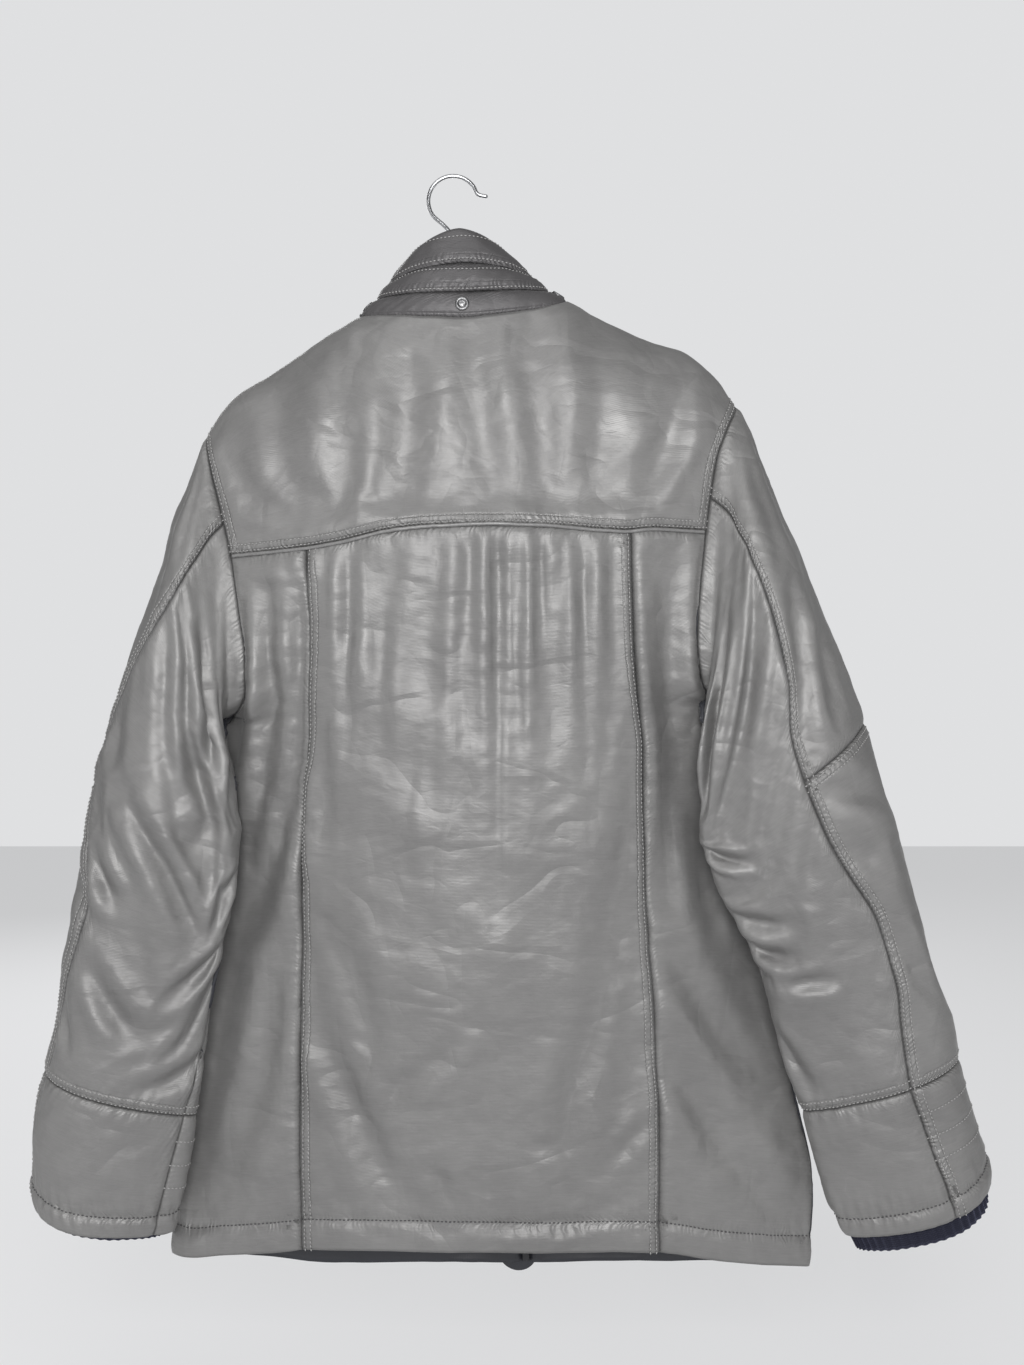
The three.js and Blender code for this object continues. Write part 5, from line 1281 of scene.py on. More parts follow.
def makeThreadTree(name, shape):
    tree = bpy.data.node_groups.new(name, "GeometryNodeTree")
    face = tree.interface
    face.new_socket("Geometry", in_out="INPUT", socket_type="NodeSocketGeometry")
    for label, value in (("Pitch", 0.003), ("Length", 0.002), ("Width", 0.0007), ("Height", 0.0005)):
        socket = face.new_socket(label, in_out="INPUT", socket_type="NodeSocketFloat")
        socket.default_value = value
    face.new_socket("Finish", in_out="INPUT", socket_type="NodeSocketMaterial")
    face.new_socket("Geometry", in_out="OUTPUT", socket_type="NodeSocketGeometry")
    add = tree.nodes.new
    start, end = add("NodeGroupInput"), add("NodeGroupOutput")
    toCurve, spaced = add("GeometryNodeMeshToCurve"), add("GeometryNodeResampleCurve")
    spaced.mode = "LENGTH"
    place, tangent = add("GeometryNodeInstanceOnPoints"), add("GeometryNodeInputTangent")
    turn, tip = (add("FunctionNodeAlignRotationToVector") for _ in range(2))
    turn.axis = "X"
    up = add("GeometryNodeInputNamedAttribute")
    up.data_type = "FLOAT_VECTOR"
    up.inputs["Name"].default_value = "outward"
    tip.axis, tip.pivot_axis = "Z", "X"
    size, join = add("ShaderNodeCombineXYZ"), add("GeometryNodeRealizeInstances")
    finish = add("GeometryNodeSetMaterial")
    if shape == "thread":
        body = add("GeometryNodeMeshIcoSphere")
        body.inputs["Radius"].default_value = 0.5
        body.inputs["Subdivisions"].default_value = 1
    else:
        body = add("GeometryNodeMeshCube")
        body.inputs["Size"].default_value = (1, 1, 1)
    linkNodes(
        tree,
        (start.outputs["Geometry"], toCurve.inputs["Mesh"]),
        (toCurve.outputs["Curve"], spaced.inputs["Curve"]),
        (start.outputs["Pitch"], spaced.inputs["Length"]),
        (spaced.outputs["Curve"], place.inputs["Points"]),
        (body.outputs["Mesh"], place.inputs["Instance"]),
        (tangent.outputs["Tangent"], turn.inputs["Vector"]),
        (turn.outputs["Rotation"], tip.inputs["Rotation"]),
        (up.outputs["Attribute"], tip.inputs["Vector"]),
        (tip.outputs["Rotation"], place.inputs["Rotation"]),
        (start.outputs["Length"], size.inputs["X"]),
        (start.outputs["Width"], size.inputs["Y"]),
        (start.outputs["Height"], size.inputs["Z"]),
        (size.outputs["Vector"], place.inputs["Scale"]),
        (place.outputs["Instances"], join.inputs["Geometry"]),
        (join.outputs["Geometry"], finish.inputs["Geometry"]),
        (start.outputs["Finish"], finish.inputs["Material"]),
        (finish.outputs["Geometry"], end.inputs["Geometry"]),
    )
    return tree


def layAlong(name, lines, tree, sizes, material):
    # lines are pairs of points and outward directions, in millimetres
    points = np.concatenate([line for line, _ in lines]) * 0.001
    outward = np.concatenate([out for _, out in lines])
    edges, first = [], 0
    for line, _ in lines:
        edges.extend((first + k, first + k + 1) for k in range(len(line) - 1))
        first += len(line)
    mesh = bpy.data.meshes.new(name)
    mesh.from_pydata(points.tolist(), edges, [])
    markPlaces(mesh, "outward", outward)
    source = bpy.data.objects.new(name + "Lines", mesh)
    scene.collection.objects.link(source)
    modifier = source.modifiers.new("lay", "NODES")
    modifier.node_group = tree
    values = dict(sizes, Finish=material)
    for item in tree.interface.items_tree:
        if item.item_type == "SOCKET" and item.in_out == "INPUT" and item.name in values:
            modifier[item.identifier] = values[item.name]
    done = bpy.data.meshes.new_from_object(source.evaluated_get(bpy.context.evaluated_depsgraph_get()))
    done.name = name
    bpy.data.objects.remove(source)
    return declare(newPiece(name, done))


def makeTube(name, path, radius, material, nodes, sides):
    # a round rod along a path, with rounded ends
    path = np.asarray(path, float)
    tangent = np.gradient(path, axis=0)
    tangent /= np.linalg.norm(tangent, axis=1, keepdims=True)
    side = np.cross(tangent, (0.0, 1.0, 0.02))
    side /= np.linalg.norm(side, axis=1, keepdims=True)
    other = np.cross(tangent, side)
    caps = [(0.94, 0.35), (0.7, 0.72), (0.38, 0.92)]  # radius and reach, as shares of the radius
    place = [(path[0] - tangent[0] * radius * h, 0, radius * r) for r, h in caps[::-1]]
    place += [(path[k], k, radius) for k in range(len(path))]
    place += [(path[-1] + tangent[-1] * radius * h, len(path) - 1, radius * r) for r, h in caps]
    angle = np.arange(sides) / sides * 2 * math.pi
    points = [
        (p + r * (side[k] * math.cos(a) + other[k] * math.sin(a))) * 0.001
        for p, k, r in place
        for a in angle
    ]
    faces = gridFaces(len(place), sides, True, True).tolist()
    tip = radius * 0.08
    ends = ((0, place[0][0] - tangent[0] * tip), (len(points) - sides, place[-1][0] + tangent[-1] * tip))
    for first, centre in ends:
        points.append(centre * 0.001)
        faces += [(first + k, first + (k + 1) % sides, len(points) - 1) for k in range(sides)]
    mesh = bpy.data.meshes.new(name)
    mesh.from_pydata([tuple(p) for p in points], [], faces)
    facesOut(mesh)
    mesh.materials.append(material)
    markPlaces(mesh, "seamPlace", np.tile(farPlace, (len(mesh.vertices), 1)))
    loops = loopPoints(mesh)
    layUv(mesh, loops % sides / sides * 0.009, loops // sides * 0.0016)
    return declare(newPiece(name, mesh), nodes)


def facesOut(mesh):
    shape = bmesh.new()
    shape.from_mesh(mesh)
    bmesh.ops.recalc_face_normals(shape, faces=shape.faces)
    shape.to_mesh(mesh)
    shape.free()


# materials
finish = {
    "shellColour": (0.186, 0.183, 0.181),
    "shellPale": (0.245, 0.242, 0.238),
    "collarColour": (0.085, 0.082, 0.084),
    "shellRoughness": 0.47,
    "satin": 0.42,
    "creases": (
        ((9, 9, 17), 0.5, 0.5, 0.016),
        ((20, 20, 9), -0.7, 0.34, 0.009),
        ((34, 34, 60), 0.25, 0.22, 0.004),
    ),
    "creaseDepth": 0.09,
    "ribPitch": 0.00115,
    "liningColour": (0.016, 0.017, 0.022),
    "knitColour": (0.0045, 0.005, 0.014),
    "threadColour": (0.3, 0.296, 0.292),
    "darkThread": (0.055, 0.054, 0.056),
}


def newMaterial(name):
    material = bpy.data.materials.new(name)
    material.use_nodes = True
    tree = material.node_tree
    return material, tree, tree.nodes["Principled BSDF"]


def addNode(tree, kind, **values):
    # names with a capital are inputs of the node, the others its settings
    node = tree.nodes.new(kind)
    for key, value in values.items():
        if key[0].isupper():
            node.inputs[key].default_value = value
        else:
            setattr(node, key, value)
    return node


def uvOf(tree):
    return addNode(tree, "ShaderNodeUVMap", uv_map="weave").outputs["UV"]


def placeOf(tree):
    return addNode(tree, "ShaderNodeTexCoord").outputs["Object"]


def mapped(tree, source, scale, turn=0.0):
    node = tree.nodes.new("ShaderNodeMapping")
    node.inputs["Scale"].default_value = scale
    node.inputs["Rotation"].default_value = (0, turn, 0)
    tree.links.new(source, node.inputs["Vector"])
    return node.outputs["Vector"]


def mathNode(tree, operation, a, b):
    node = tree.nodes.new("ShaderNodeMath")
    node.operation = operation
    for k, value in enumerate((a, b)):
        if isinstance(value, (int, float)):
            node.inputs[k].default_value = value
        else:
            tree.links.new(value, node.inputs[k])
    return node.outputs[0]


def times(tree, a, b):
    return mathNode(tree, "MULTIPLY", a, b)


def minus(tree, a, b):
    return mathNode(tree, "SUBTRACT", a, b)


def bell(tree, distance, steep):
    # one where the distance is nought, falling off at both sides
    return mathNode(tree, "POWER", 2.718, times(tree, times(tree, distance, distance), -steep))


def blendColour(tree, share, a, b):
    node = tree.nodes.new("ShaderNodeMix")
    node.data_type = "RGBA"
    for socket, value in ((node.inputs[0], share), (node.inputs[6], a), (node.inputs[7], b)):
        if isinstance(value, tuple):
            socket.default_value = (*value, 1)
        elif isinstance(value, (int, float)):
            socket.default_value = value
        else:
            tree.links.new(value, socket)
    return node.outputs[2]


def spread(tree, value, low, high, start=0.0, end=1.0):
    node = tree.nodes.new("ShaderNodeMapRange")
    node.inputs["From Min"].default_value = low
    node.inputs["From Max"].default_value = high
    node.inputs["To Min"].default_value = start
    node.inputs["To Max"].default_value = end
    tree.links.new(value, node.inputs["Value"])
    return node.outputs["Result"]


def noise(tree, vector, scale, detail=2.0, rough=0.5, bend=0.0):
    node = addNode(tree, "ShaderNodeTexNoise", Scale=scale, Detail=detail, Roughness=rough, Distortion=bend)
    tree.links.new(vector, node.inputs["Vector"])
    return node.outputs["Fac"]


def bump(tree, height, strength, distance, before=None):
    node = tree.nodes.new("ShaderNodeBump")
    node.inputs["Strength"].default_value = strength
    node.inputs["Distance"].default_value = distance
    tree.links.new(height, node.inputs["Height"])
    if before is not None:
        tree.links.new(before, node.inputs["Normal"])
    return node.outputs["Normal"]


def ribs(tree, uv, pitch, axis, bend=0.0):
    node = addNode(tree, "ShaderNodeTexWave", wave_type="BANDS", bands_direction=axis, wave_profile="SIN")
    node.inputs["Scale"].default_value = 1.0
    node.inputs["Distortion"].default_value = bend
    scaled = mapped(tree, uv, (math.pi * 2 / 20 / pitch,) * 3)
    tree.links.new(scaled, node.inputs["Vector"])
    return node.outputs["Fac"]


relief = {  # in millimetres
    "pitch": 4.6,
    "wander": 26.0,
    "reach": (7.0, 15.0),
    "pucker": 0.36,
    "dip": 0.34,
    "dipWidth": 0.75,
    "seamShadeSteep": 1.1,
}


def seamRelief(tree):
    # puckers across each sewn seam, a dip under each stitched row, and a bell at each seam line that the
    # shell colour uses for painted shade in the seam's groove
    place = addNode(tree, "ShaderNodeAttribute", attribute_name="seamPlace").outputs["Vector"]
    parts = tree.nodes.new("ShaderNodeSeparateXYZ")
    tree.links.new(place, parts.inputs[0])
    distance, along, strength = parts.outputs
    wander = noise(tree, mapped(tree, place, (0.05, 0.055, 0)), 1.0, 1)
    wave = times(tree, along, 2 * math.pi / relief["pitch"])
    turnBy = mathNode(tree, "ADD", wave, times(tree, wander, relief["wander"]))
    uneven = noise(tree, mapped(tree, place, (0, 0.19, 0)), 1.0, 1)
    reach = spread(tree, uneven, 0.3, 0.7, *relief["reach"])
    fade = mathNode(tree, "MAXIMUM", minus(tree, 1.0, mathNode(tree, "DIVIDE", distance, reach)), 0.0)
    start = spread(tree, distance, 0.2, 2.2)
    pucker = times(tree, mathNode(tree, "SINE", turnBy, 0), times(tree, fade, start))
    height = times(tree, times(tree, pucker, strength), relief["pucker"])
    deep = spread(tree, strength, 0.6, 0.9, 0.0, relief["dip"])
    for row in stitch["rows"]:
        away = mathNode(tree, "DIVIDE", minus(tree, distance, row), relief["dipWidth"])
        height = minus(tree, height, times(tree, bell(tree, away, 1.0), deep))
    # the second value is the mask of the painted shade along the seam line
    return height, bell(tree, distance, relief["seamShadeSteep"])


def scaledColour(colour, share):
    return tuple(share * v for v in colour)


def makeShellMaterial(name, dark, pale, scuffs=False):
    material, tree, shader = newMaterial(name)
    place, uv = placeOf(tree), uvOf(tree)
    seamHigh, paintedSeamShade = seamRelief(tree)
    cloudy = noise(tree, place, 9, 4, 0.55, 0.4)
    streaks = noise(tree, mapped(tree, uv, (60, 900, 1)), 1.0, 3, 0.6)
    mottled = noise(tree, place, 70, 3, 0.6)
    shade = mathNode(tree, "ADD", times(tree, cloudy, 0.5), times(tree, streaks, 0.3))
    shade = mathNode(tree, "ADD", shade, times(tree, mottled, 0.2))
    colour = blendColour(tree, spread(tree, shade, 0.34, 0.66), dark, pale)
    # painted shade: the colour darkens towards a third of the dark tone in a thin line along each seam,
    # where its groove lies in shade
    colour = blendColour(tree, times(tree, paintedSeamShade, 0.55), colour, scaledColour(dark, 0.3))
    if scuffs:
        patch = spread(tree, noise(tree, mapped(tree, place, (1, 1, 0.7)), 17, 5, 0.7, 1.2), 0.66, 0.74)
        colour = blendColour(tree, times(tree, patch, 0.22), colour, (0.5, 0.5, 0.5))
    tree.links.new(colour, shader.inputs["Base Color"])
    least, most = finish["shellRoughness"] - 0.05, finish["shellRoughness"] + 0.06
    rough = spread(tree, noise(tree, place, 30, 3, 0.6), 0.3, 0.7, least, most)
    tree.links.new(rough, shader.inputs["Roughness"])
    shader.inputs["Metallic"].default_value = finish["satin"]
    shader.inputs["Specular IOR Level"].default_value = 0.5
    shader.inputs["Sheen Weight"].default_value = 0.08
    shader.inputs["Sheen Roughness"].default_value = 0.35
    shader.inputs["Anisotropic"].default_value = 0.35
    normal = None
    for scale, turn, strength, size in finish["creases"]:
        wrinkles = noise(tree, mapped(tree, place, scale, turn), 1.0, 2, 0.5, 0.35)
        ridged = mathNode(tree, "ABSOLUTE", minus(tree, wrinkles, 0.5), 0)
        ridged = mathNode(tree, "MINIMUM", ridged, finish["creaseDepth"])
        normal = bump(tree, ridged, strength, size, normal)
    cells = addNode(tree, "ShaderNodeTexVoronoi", feature="DISTANCE_TO_EDGE", Scale=1.0)
    bent = tree.nodes.new("ShaderNodeVectorMath")
    bent.operation = "ADD"
    tree.links.new(mapped(tree, place, (12, 12, 25), 0.5), bent.inputs[0])
    sway = addNode(tree, "ShaderNodeTexNoise", Scale=5.0, Detail=1.0)
    tree.links.new(place, sway.inputs["Vector"])
    tree.links.new(sway.outputs["Color"], bent.inputs[1])
    tree.links.new(bent.outputs[0], cells.inputs["Vector"])
    packed = minus(tree, 1.0, spread(tree, cells.outputs["Distance"], 0.0, 0.03))
    shown = spread(tree, noise(tree, mapped(tree, place, (14, 14, 14)), 1.0, 1), 0.5, 0.62)
    normal = bump(tree, times(tree, packed, shown), -0.2, 0.0011, normal)
    fine = noise(tree, mapped(tree, place, (150, 150, 260), -0.2), 1.0, 2, 0.5, 0.3)
    normal = bump(tree, fine, 0.14, 0.0012, normal)
    normal = bump(tree, seamHigh, 1.0, 0.001, normal)
    normal = bump(tree, ribs(tree, uv, finish["ribPitch"], "Y", 0.6), 0.14, 0.0003, normal)
    tree.links.new(normal, shader.inputs["Normal"])
    return material


def makeLiningMaterial():
    material, tree, shader = newMaterial("lining")
    place, uv = placeOf(tree), uvOf(tree)
    pale = scaledColour(finish["liningColour"], 1.7)
    colour = blendColour(tree, noise(tree, place, 40, 3, 0.6), finish["liningColour"], pale)
    tree.links.new(colour, shader.inputs["Base Color"])
    shader.inputs["Roughness"].default_value = 0.42
    shader.inputs["Sheen Weight"].default_value = 0.1
    tree.links.new(bump(tree, ribs(tree, uv, 0.0012, "X"), 0.12, 0.0003), shader.inputs["Normal"])
    return material


def makeKnitMaterial():
    material, tree, shader = newMaterial("knit")
    place, uv = placeOf(tree), uvOf(tree)
    loops = times(tree, ribs(tree, uv, 0.0016, "Y"), ribs(tree, uv, 0.0013, "X"))
    # painted shade: the colour is paler on the tops of the loops and darker between them, on the same
    # pattern as the bump
    colour = blendColour(tree, loops, finish["knitColour"], scaledColour(finish["knitColour"], 2.4))
    tree.links.new(colour, shader.inputs["Base Color"])
    shader.inputs["Roughness"].default_value = 0.9
    shader.inputs["Sheen Weight"].default_value = 0.35
    shader.inputs["Sheen Tint"].default_value = (0.3, 0.32, 0.5, 1)
    normal = bump(tree, noise(tree, place, 900, 2), 0.35, 0.0004)
    tree.links.new(bump(tree, loops, 0.6, 0.0006, normal), shader.inputs["Normal"])
    return material


def makePlainMaterial(name, colour, roughness, metallic=0.0, grain=0.25, wear=None):
    material, tree, shader = newMaterial(name)
    place = placeOf(tree)
    speckle = noise(tree, place, 420, 3, 0.6)
    other = wear if wear else scaledColour(colour, 1.25)
    tint = blendColour(tree, spread(tree, speckle, 0.35, 0.7), colour, other)
    tree.links.new(tint, shader.inputs["Base Color"])
    rough = spread(tree, noise(tree, place, 160, 3), 0.3, 0.7, roughness * 0.8, roughness * 1.25)
    tree.links.new(rough, shader.inputs["Roughness"])
    shader.inputs["Metallic"].default_value = metallic
    tree.links.new(bump(tree, speckle, grain, 0.0002), shader.inputs["Normal"])
    return material


shellMaterial = makeShellMaterial("shellSatin", finish["shellColour"], finish["shellPale"])
sleeveMaterial = makeShellMaterial("shellSatinWorn", finish["shellColour"], finish["shellPale"], True)
collarPale = scaledColour(finish["collarColour"], 1.25)
collarMaterial = makeShellMaterial("collarCloth", finish["collarColour"], collarPale)
liningMaterial = makeLiningMaterial()
knitMaterial = makeKnitMaterial()
threadMaterial = makePlainMaterial("thread", finish["threadColour"], 0.6)
darkThreadMaterial = makePlainMaterial("darkThread", finish["darkThread"], 0.65)
chromeMaterial = makePlainMaterial("brightWire", (0.36, 0.365, 0.375), 0.16, 1.0, 0.03)
nickelMaterial = makePlainMaterial("darkNickel", (0.13, 0.13, 0.135), 0.34, 1.0, 0.1, (0.3, 0.3, 0.3))
zipTapeMaterial = makePlainMaterial("zipTape", (0.03, 0.03, 0.033), 0.75)
zipToothMaterial = makePlainMaterial("zipTeeth", (0.1, 0.1, 0.105), 0.4, 1.0, 0.1)
pipingMaterial = makePlainMaterial("pipingSatin", (0.2, 0.198, 0.196), 0.45, 0.35, 0.2)
hangerMaterial = makePlainMaterial("hangerPlastic", (0.02, 0.02, 0.022), 0.5)
report("materials ready")

flatSize = {}  # the width, length and area that each cloth piece was cut to


def declareCloth(piece, grid, closed=False):
    down = np.linalg.norm(np.diff(grid, axis=0), axis=-1).sum(axis=0)
    wide = np.linalg.norm(np.diff(grid, axis=1), axis=-1).sum(axis=1)
    if closed:
        wide = wide + np.linalg.norm(grid[:, -1] - grid[:, 0], axis=-1)
    width, length = wide.max() * 0.001, down.max() * 0.001
    crossed = np.cross(grid[1:, 1:] - grid[:-1, :-1], grid[1:, :-1] - grid[:-1, 1:])
    area = np.linalg.norm(crossed, axis=-1).sum() * 0.5e-6
    flatSize[piece.name] = (width, length, area)


smooth, marks = makeShell()
fine = finishShell(smooth, marks)


hemPucker = {"away": 2.2, "strength": 0.58}


def seamPlaces(grid, edges, hemRow=None):
    # for each point: distance to the nearest seam, place along it and how much it puckers
    walked = edgeDistances(grid, False)
    out = np.zeros(grid.shape[:2] + (3,))
    out[..., 0] = farPlace[0]
    rows = [(walked[e][0], walked[e][1], strength) for e, strength in edges.items()]
    if hemRow:
        fromHem = np.abs(walked["bottom"][0] - hemRow) + hemPucker["away"]
        rows.append((fromHem, walked["bottom"][1], hemPucker["strength"]))
    second = np.full(grid.shape[:2], farPlace[0])
    for k, (distance, along, strength) in enumerate(rows):
        closer = distance < out[..., 0]
        second = np.minimum(second, np.maximum(distance, out[..., 0]))
        values = np.stack([distance, along + 37 * k, np.full(along.shape, strength)], axis=-1)
        out[closer] = values[closer]
    out[..., 2] *= ease(np.clip((second - out[..., 0] - 1.5) / 4, 0, 1))  # no puckers where two seams meet
    return out


seamPuckers = {
    "yoke_back": {"bottom": 1.0, "left": 1.0, "right": 1.0},
    "back_centre": {"left": 1.0, "right": 1.0, "top": 0.6},
    "back_side_left": {"top": 0.5, "left": 0.3, "right": 0.3},
    "back_side_right": {"top": 0.5, "left": 0.3, "right": 0.3},
    "front_left": {"left": 0.3, "right": 0.5},
    "front_right": {"left": 0.3, "right": 0.5},
    "under": {"left": 0.3, "right": 0.3, "bottom": 1.0, "top": 0.3},
    "top_upper": {"left": 0.3, "right": 1.0, "bottom": 0.4, "top": 0.3},
    "top_lower": {"left": 0.3, "right": 1.0, "bottom": 1.0, "top": 1.0},
    "cuff_under": {"left": 0.3, "right": 0.3, "top": 0.4},
    "cuff_top": {"left": 0.3, "right": 1.0, "top": 0.4},
}
bodyPieces = {
    "yoke_cloth": ("yoke_back", "gathered"),
    "back_centre_cloth": ("back_centre", "gathered"),
    "back_left_cloth": ("back_side_left", "hung"),
    "back_right_cloth": ("back_side_right", "hung"),
    "front_left_cloth": ("front_left", "hung"),
    "front_right_cloth": ("front_right", "hung"),
}
for name, (node, held) in bodyPieces.items():
    grid = fine[node]
    shade = seamPlaces(grid, seamPuckers[node], hemRows.get(node))
    piece = makeGridPiece(name, grid, [shellMaterial, liningMaterial], flip=node in flipped,
                          nodes=[node], sewn=shade, thinAt=("top", "left", "right"))
    declareCloth(piece, grid)
underPart = (backSeamColumn, frontSeamColumn)
topPart = (frontSeamColumn, sleeveColumns + backSeamColumn)
sleevePieces = {  # rows, columns, node, edges with a thin wall
    "under": ((0, cuffRow), underPart, "sleeve_under_", ("top",)),
    "top_upper": ((0, elbowRow), topPart, "sleeve_top_upper_", ("top",)),
    "top_lower": ((elbowRow, cuffRow), topPart, "sleeve_top_lower_", ()),
    "cuff_under": ((cuffRow, endRow), underPart, "cuff_under_", ()),
    "cuff_top": ((cuffRow, endRow), topPart, "cuff_top_", ()),
}
sleeveGrids = {}
for side in sideNames:
    whole = fine["sleeve_" + side]
    twice = np.concatenate([whole, whole], axis=1)
    flip = "sleeve_" + side in flipped
    for part, (rows, columns, node, thin) in sleevePieces.items():
        grid = twice[rows[0] : rows[1] + 1, columns[0] : columns[1] + 1]
        sleeveGrids[part, side] = grid
        shade = seamPlaces(grid, seamPuckers[part], cuffHem if "cuff" in part else None)
        name = "sleeve_%s_%s_cloth" % (part, side)
        piece = makeGridPiece(name, grid, [sleeveMaterial, liningMaterial], flip=flip,
                              nodes=[node + side], sewn=shade, thinAt=thin)
        declareCloth(piece, grid)
report("body and sleeves made")

collarBands = {"base": (0.0, 0.27), "middle": (0.27, 0.6), "upper": (0.6, 1.0)}
collarRule = {
    "puff": {"base": 1.4, "middle": 2.2, "upper": 2.4},
    "rows": {"base": 10, "middle": 15, "upper": 19},
    "columns": 260,
    "wall": 0.0034,
}


def makeCollar():
    grids = {}
    for k, (band, (start, end)) in enumerate(collarBands.items()):
        t = np.linspace(start, end, collarRule["rows"][band])[:, None]
        last = 180 - np.degrees(np.arcsin(cut["zipHalfGap"] / collarOf["half"](t)))
        degrees = np.linspace(-1, 1, collarRule["columns"] + 1)[None] * last
        grid = collarPoint(degrees, np.broadcast_to(t, degrees.shape))
        edges = edgeDistances(grid, False)
        normals = gridNormals(grid, False, True)
        low, along = edges["top"]
        high = edges["bottom"][0]
        share = (t - start) / (end - start)
        lift = collarRule["puff"][band] * np.sin(math.pi * share) ** 0.7
        for m, distance in enumerate((low,) if band == "upper" else (low, high)):
            pucker, _, groove = seamHeight(distance, along, k + m)
            lift = lift + pucker * 0.8 + groove * 0.6
        lift = lift + 0.8 * smoothNoise(grid, (22, 22, 12), 21 + k)
        grid = grid + normals * lift[..., None]
        if k:
            grid[0] = grids[lastBand][-1]
        else:  # the base reaches a little below the neck seam
            grid = np.concatenate([grid[:1] - normals[:1] * 3.5 + (0, 0, -4.0), grid])
        lastBand = band
        grids[band] = grid
    for band, grid in grids.items():
        shade = seamPlaces(grid, {"top": 0.8, "bottom": 0.5} if band != "upper" else {"top": 0.8})
        piece = makeGridPiece("collar_%s_cloth" % band, grid, [collarMaterial], collarRule["wall"],
                              False, True, ["collar_" + band], shade)
        declareCloth(piece, grid)
    return grids


collarGrids = makeCollar()
report("collar made")

# knitted cuffs inside the sleeve ends
knitRule = {
    "start": 14,
    "rows": 26,
    "ribs": 46,
    "ribHeight": 0.9,
    "shrink": 5.8,
    "reach": {"left": 4, "right": 15},
    "wall": 0.0022,
}


def makeKnitCuff(side):
    s = np.linspace(knitRule["start"], endStation, knitRule["rows"])
    around = knitRule["ribs"] * 6
    degrees = np.arange(around) * 360 / around
    grid = tubePoint(side, degrees[None], s[:, None], knitRule["shrink"])
    at = sleeveOf[side]
    ends = np.array([knitRule["start"], endStation])
    middleX, middleZ = ((at["out" + key](ends) + at["in" + key](ends)) / 2 for key in "XZ")
    axis = np.array([middleX[1] - middleX[0], 0, middleZ[1] - middleZ[0]])
    axis /= np.linalg.norm(axis)
    grid = grid + axis * (np.clip(s - endStation + 1, 0, 1) * knitRule["reach"][side])[:, None, None]
    flip = "sleeve_" + side in flipped
    normals = gridNormals(grid, True, flip)
    wave = knitRule["ribHeight"] * (np.cos(np.radians(degrees) * knitRule["ribs"]) - 0.6)
    grid = grid + normals * (wave[None] + 0.6 * smoothNoise(grid, (14, 14, 14), 31))[..., None]
    piece = makeGridPiece("knit_%s" % side, grid, [knitMaterial], knitRule["wall"], True, flip,
                          ["knit_cuff_" + side])
    declareCloth(piece, grid, True)


for side in sideNames:
    makeKnitCuff(side)

# topstitching
stitchLines, darkLines = [], []


def sew(grid, edge, distance, flip=False, dark=False):
    line = lineFromEdge(grid, edge, distance, 0.3, flip)
    lifted = lineFromEdge(grid, edge, distance, 1.3, flip)
    (darkLines if dark else stitchLines).append((line, lifted - line))


for distance, innerDistance in zip(stitch["rows"], stitch["innerRows"]):
    for edge in ("bottom", "left", "right"):
        sew(fine["yoke_back"], edge, distance)
    sew(fine["back_centre"], "left", distance)
    sew(fine["back_centre"], "right", distance)
    for side in sideNames:
        flip = "sleeve_" + side in flipped
        sew(sleeveGrids["top_lower", side], "top", distance, flip)
        for part in ("top_upper", "top_lower", "cuff_top"):
            sew(sleeveGrids[part, side], "right", distance, flip)
        for part in ("under", "top_lower"):
            sew(sleeveGrids[part, side], "bottom", innerDistance, flip)
for node in hemRows:
    sew(fine[node], "bottom", hemRows[node], node in flipped, dark=True)
for side in sideNames:
    flip = "sleeve_" + side in flipped
    for part in ("cuff_under", "cuff_top"):
        sew(sleeveGrids[part, side], "bottom", cuffHem, flip, dark=True)
    for distance in stitch["cuffRows"]:
        sew(sleeveGrids["cuff_top", side], "top", distance, flip)
for band, distance in stitch["collarRows"]:
    sew(collarGrids[band], "top", distance, True)
threadTree = makeThreadTree("threadRun", "thread")
sizes = {key.title(): stitch[key] for key in ("pitch", "length", "width", "height")}
layAlong("stitches", stitchLines, threadTree, sizes, threadMaterial)
layAlong("hem_stitches", darkLines, threadTree, sizes, darkThreadMaterial)
report("stitches sewn")

# the piping along the yoke seam
piping = {"radius": 1.6, "endRadius": 0.05, "lift": 1.2, "sides": 10, "trim": 3}


def makePiping():
    seam = slice(piping["trim"], -piping["trim"])
    path = fine["yoke_back"][-1][seam]
    path = path + gridNormals(fine["yoke_back"], False, False)[-1][seam] * piping["lift"]
    radius = np.full(len(path), piping["radius"])
    radius[[0, -1]] = piping["endRadius"]
    tangent = np.gradient(path, axis=0)
    tangent /= np.linalg.norm(tangent, axis=1, keepdims=True)
    up = np.cross(tangent, (0.0, 1.0, 0.0))
    up /= np.linalg.norm(up, axis=1, keepdims=True)
    out = np.cross(up, tangent)
    angle = np.linspace(0, 2 * math.pi, piping["sides"] + 1)[:-1]
    turn = up[:, None] * np.cos(angle)[None, :, None] + out[:, None] * np.sin(angle)[None, :, None]
    grid = path[:, None] + radius[:, None, None] * turn
    flip = (gridNormals(grid, True, False) * turn).sum() < 0
    makeGridPiece("piping_cloth", grid, [pipingMaterial], 0, True, flip, ["yoke_piping"])


makePiping()

# the hanger's hook
hook = {
    "seatX": 4,
    "seatBelow": 17.55,  # the rod stands on the hanger this much below the shoulder ridge
    "shank": [(4, -2, -75), (4, -1, -58), (-3.5, -0.5, -43.5)],
    "bend": (1, -19.3, 21),  # x and z of its middle, and its radius
    "bendDegrees": range(216, 0, -18),
    "tip": [(23.5, 0, -14.5), (28.5, 0, -15.5)],
    "radius": 1.7,
}


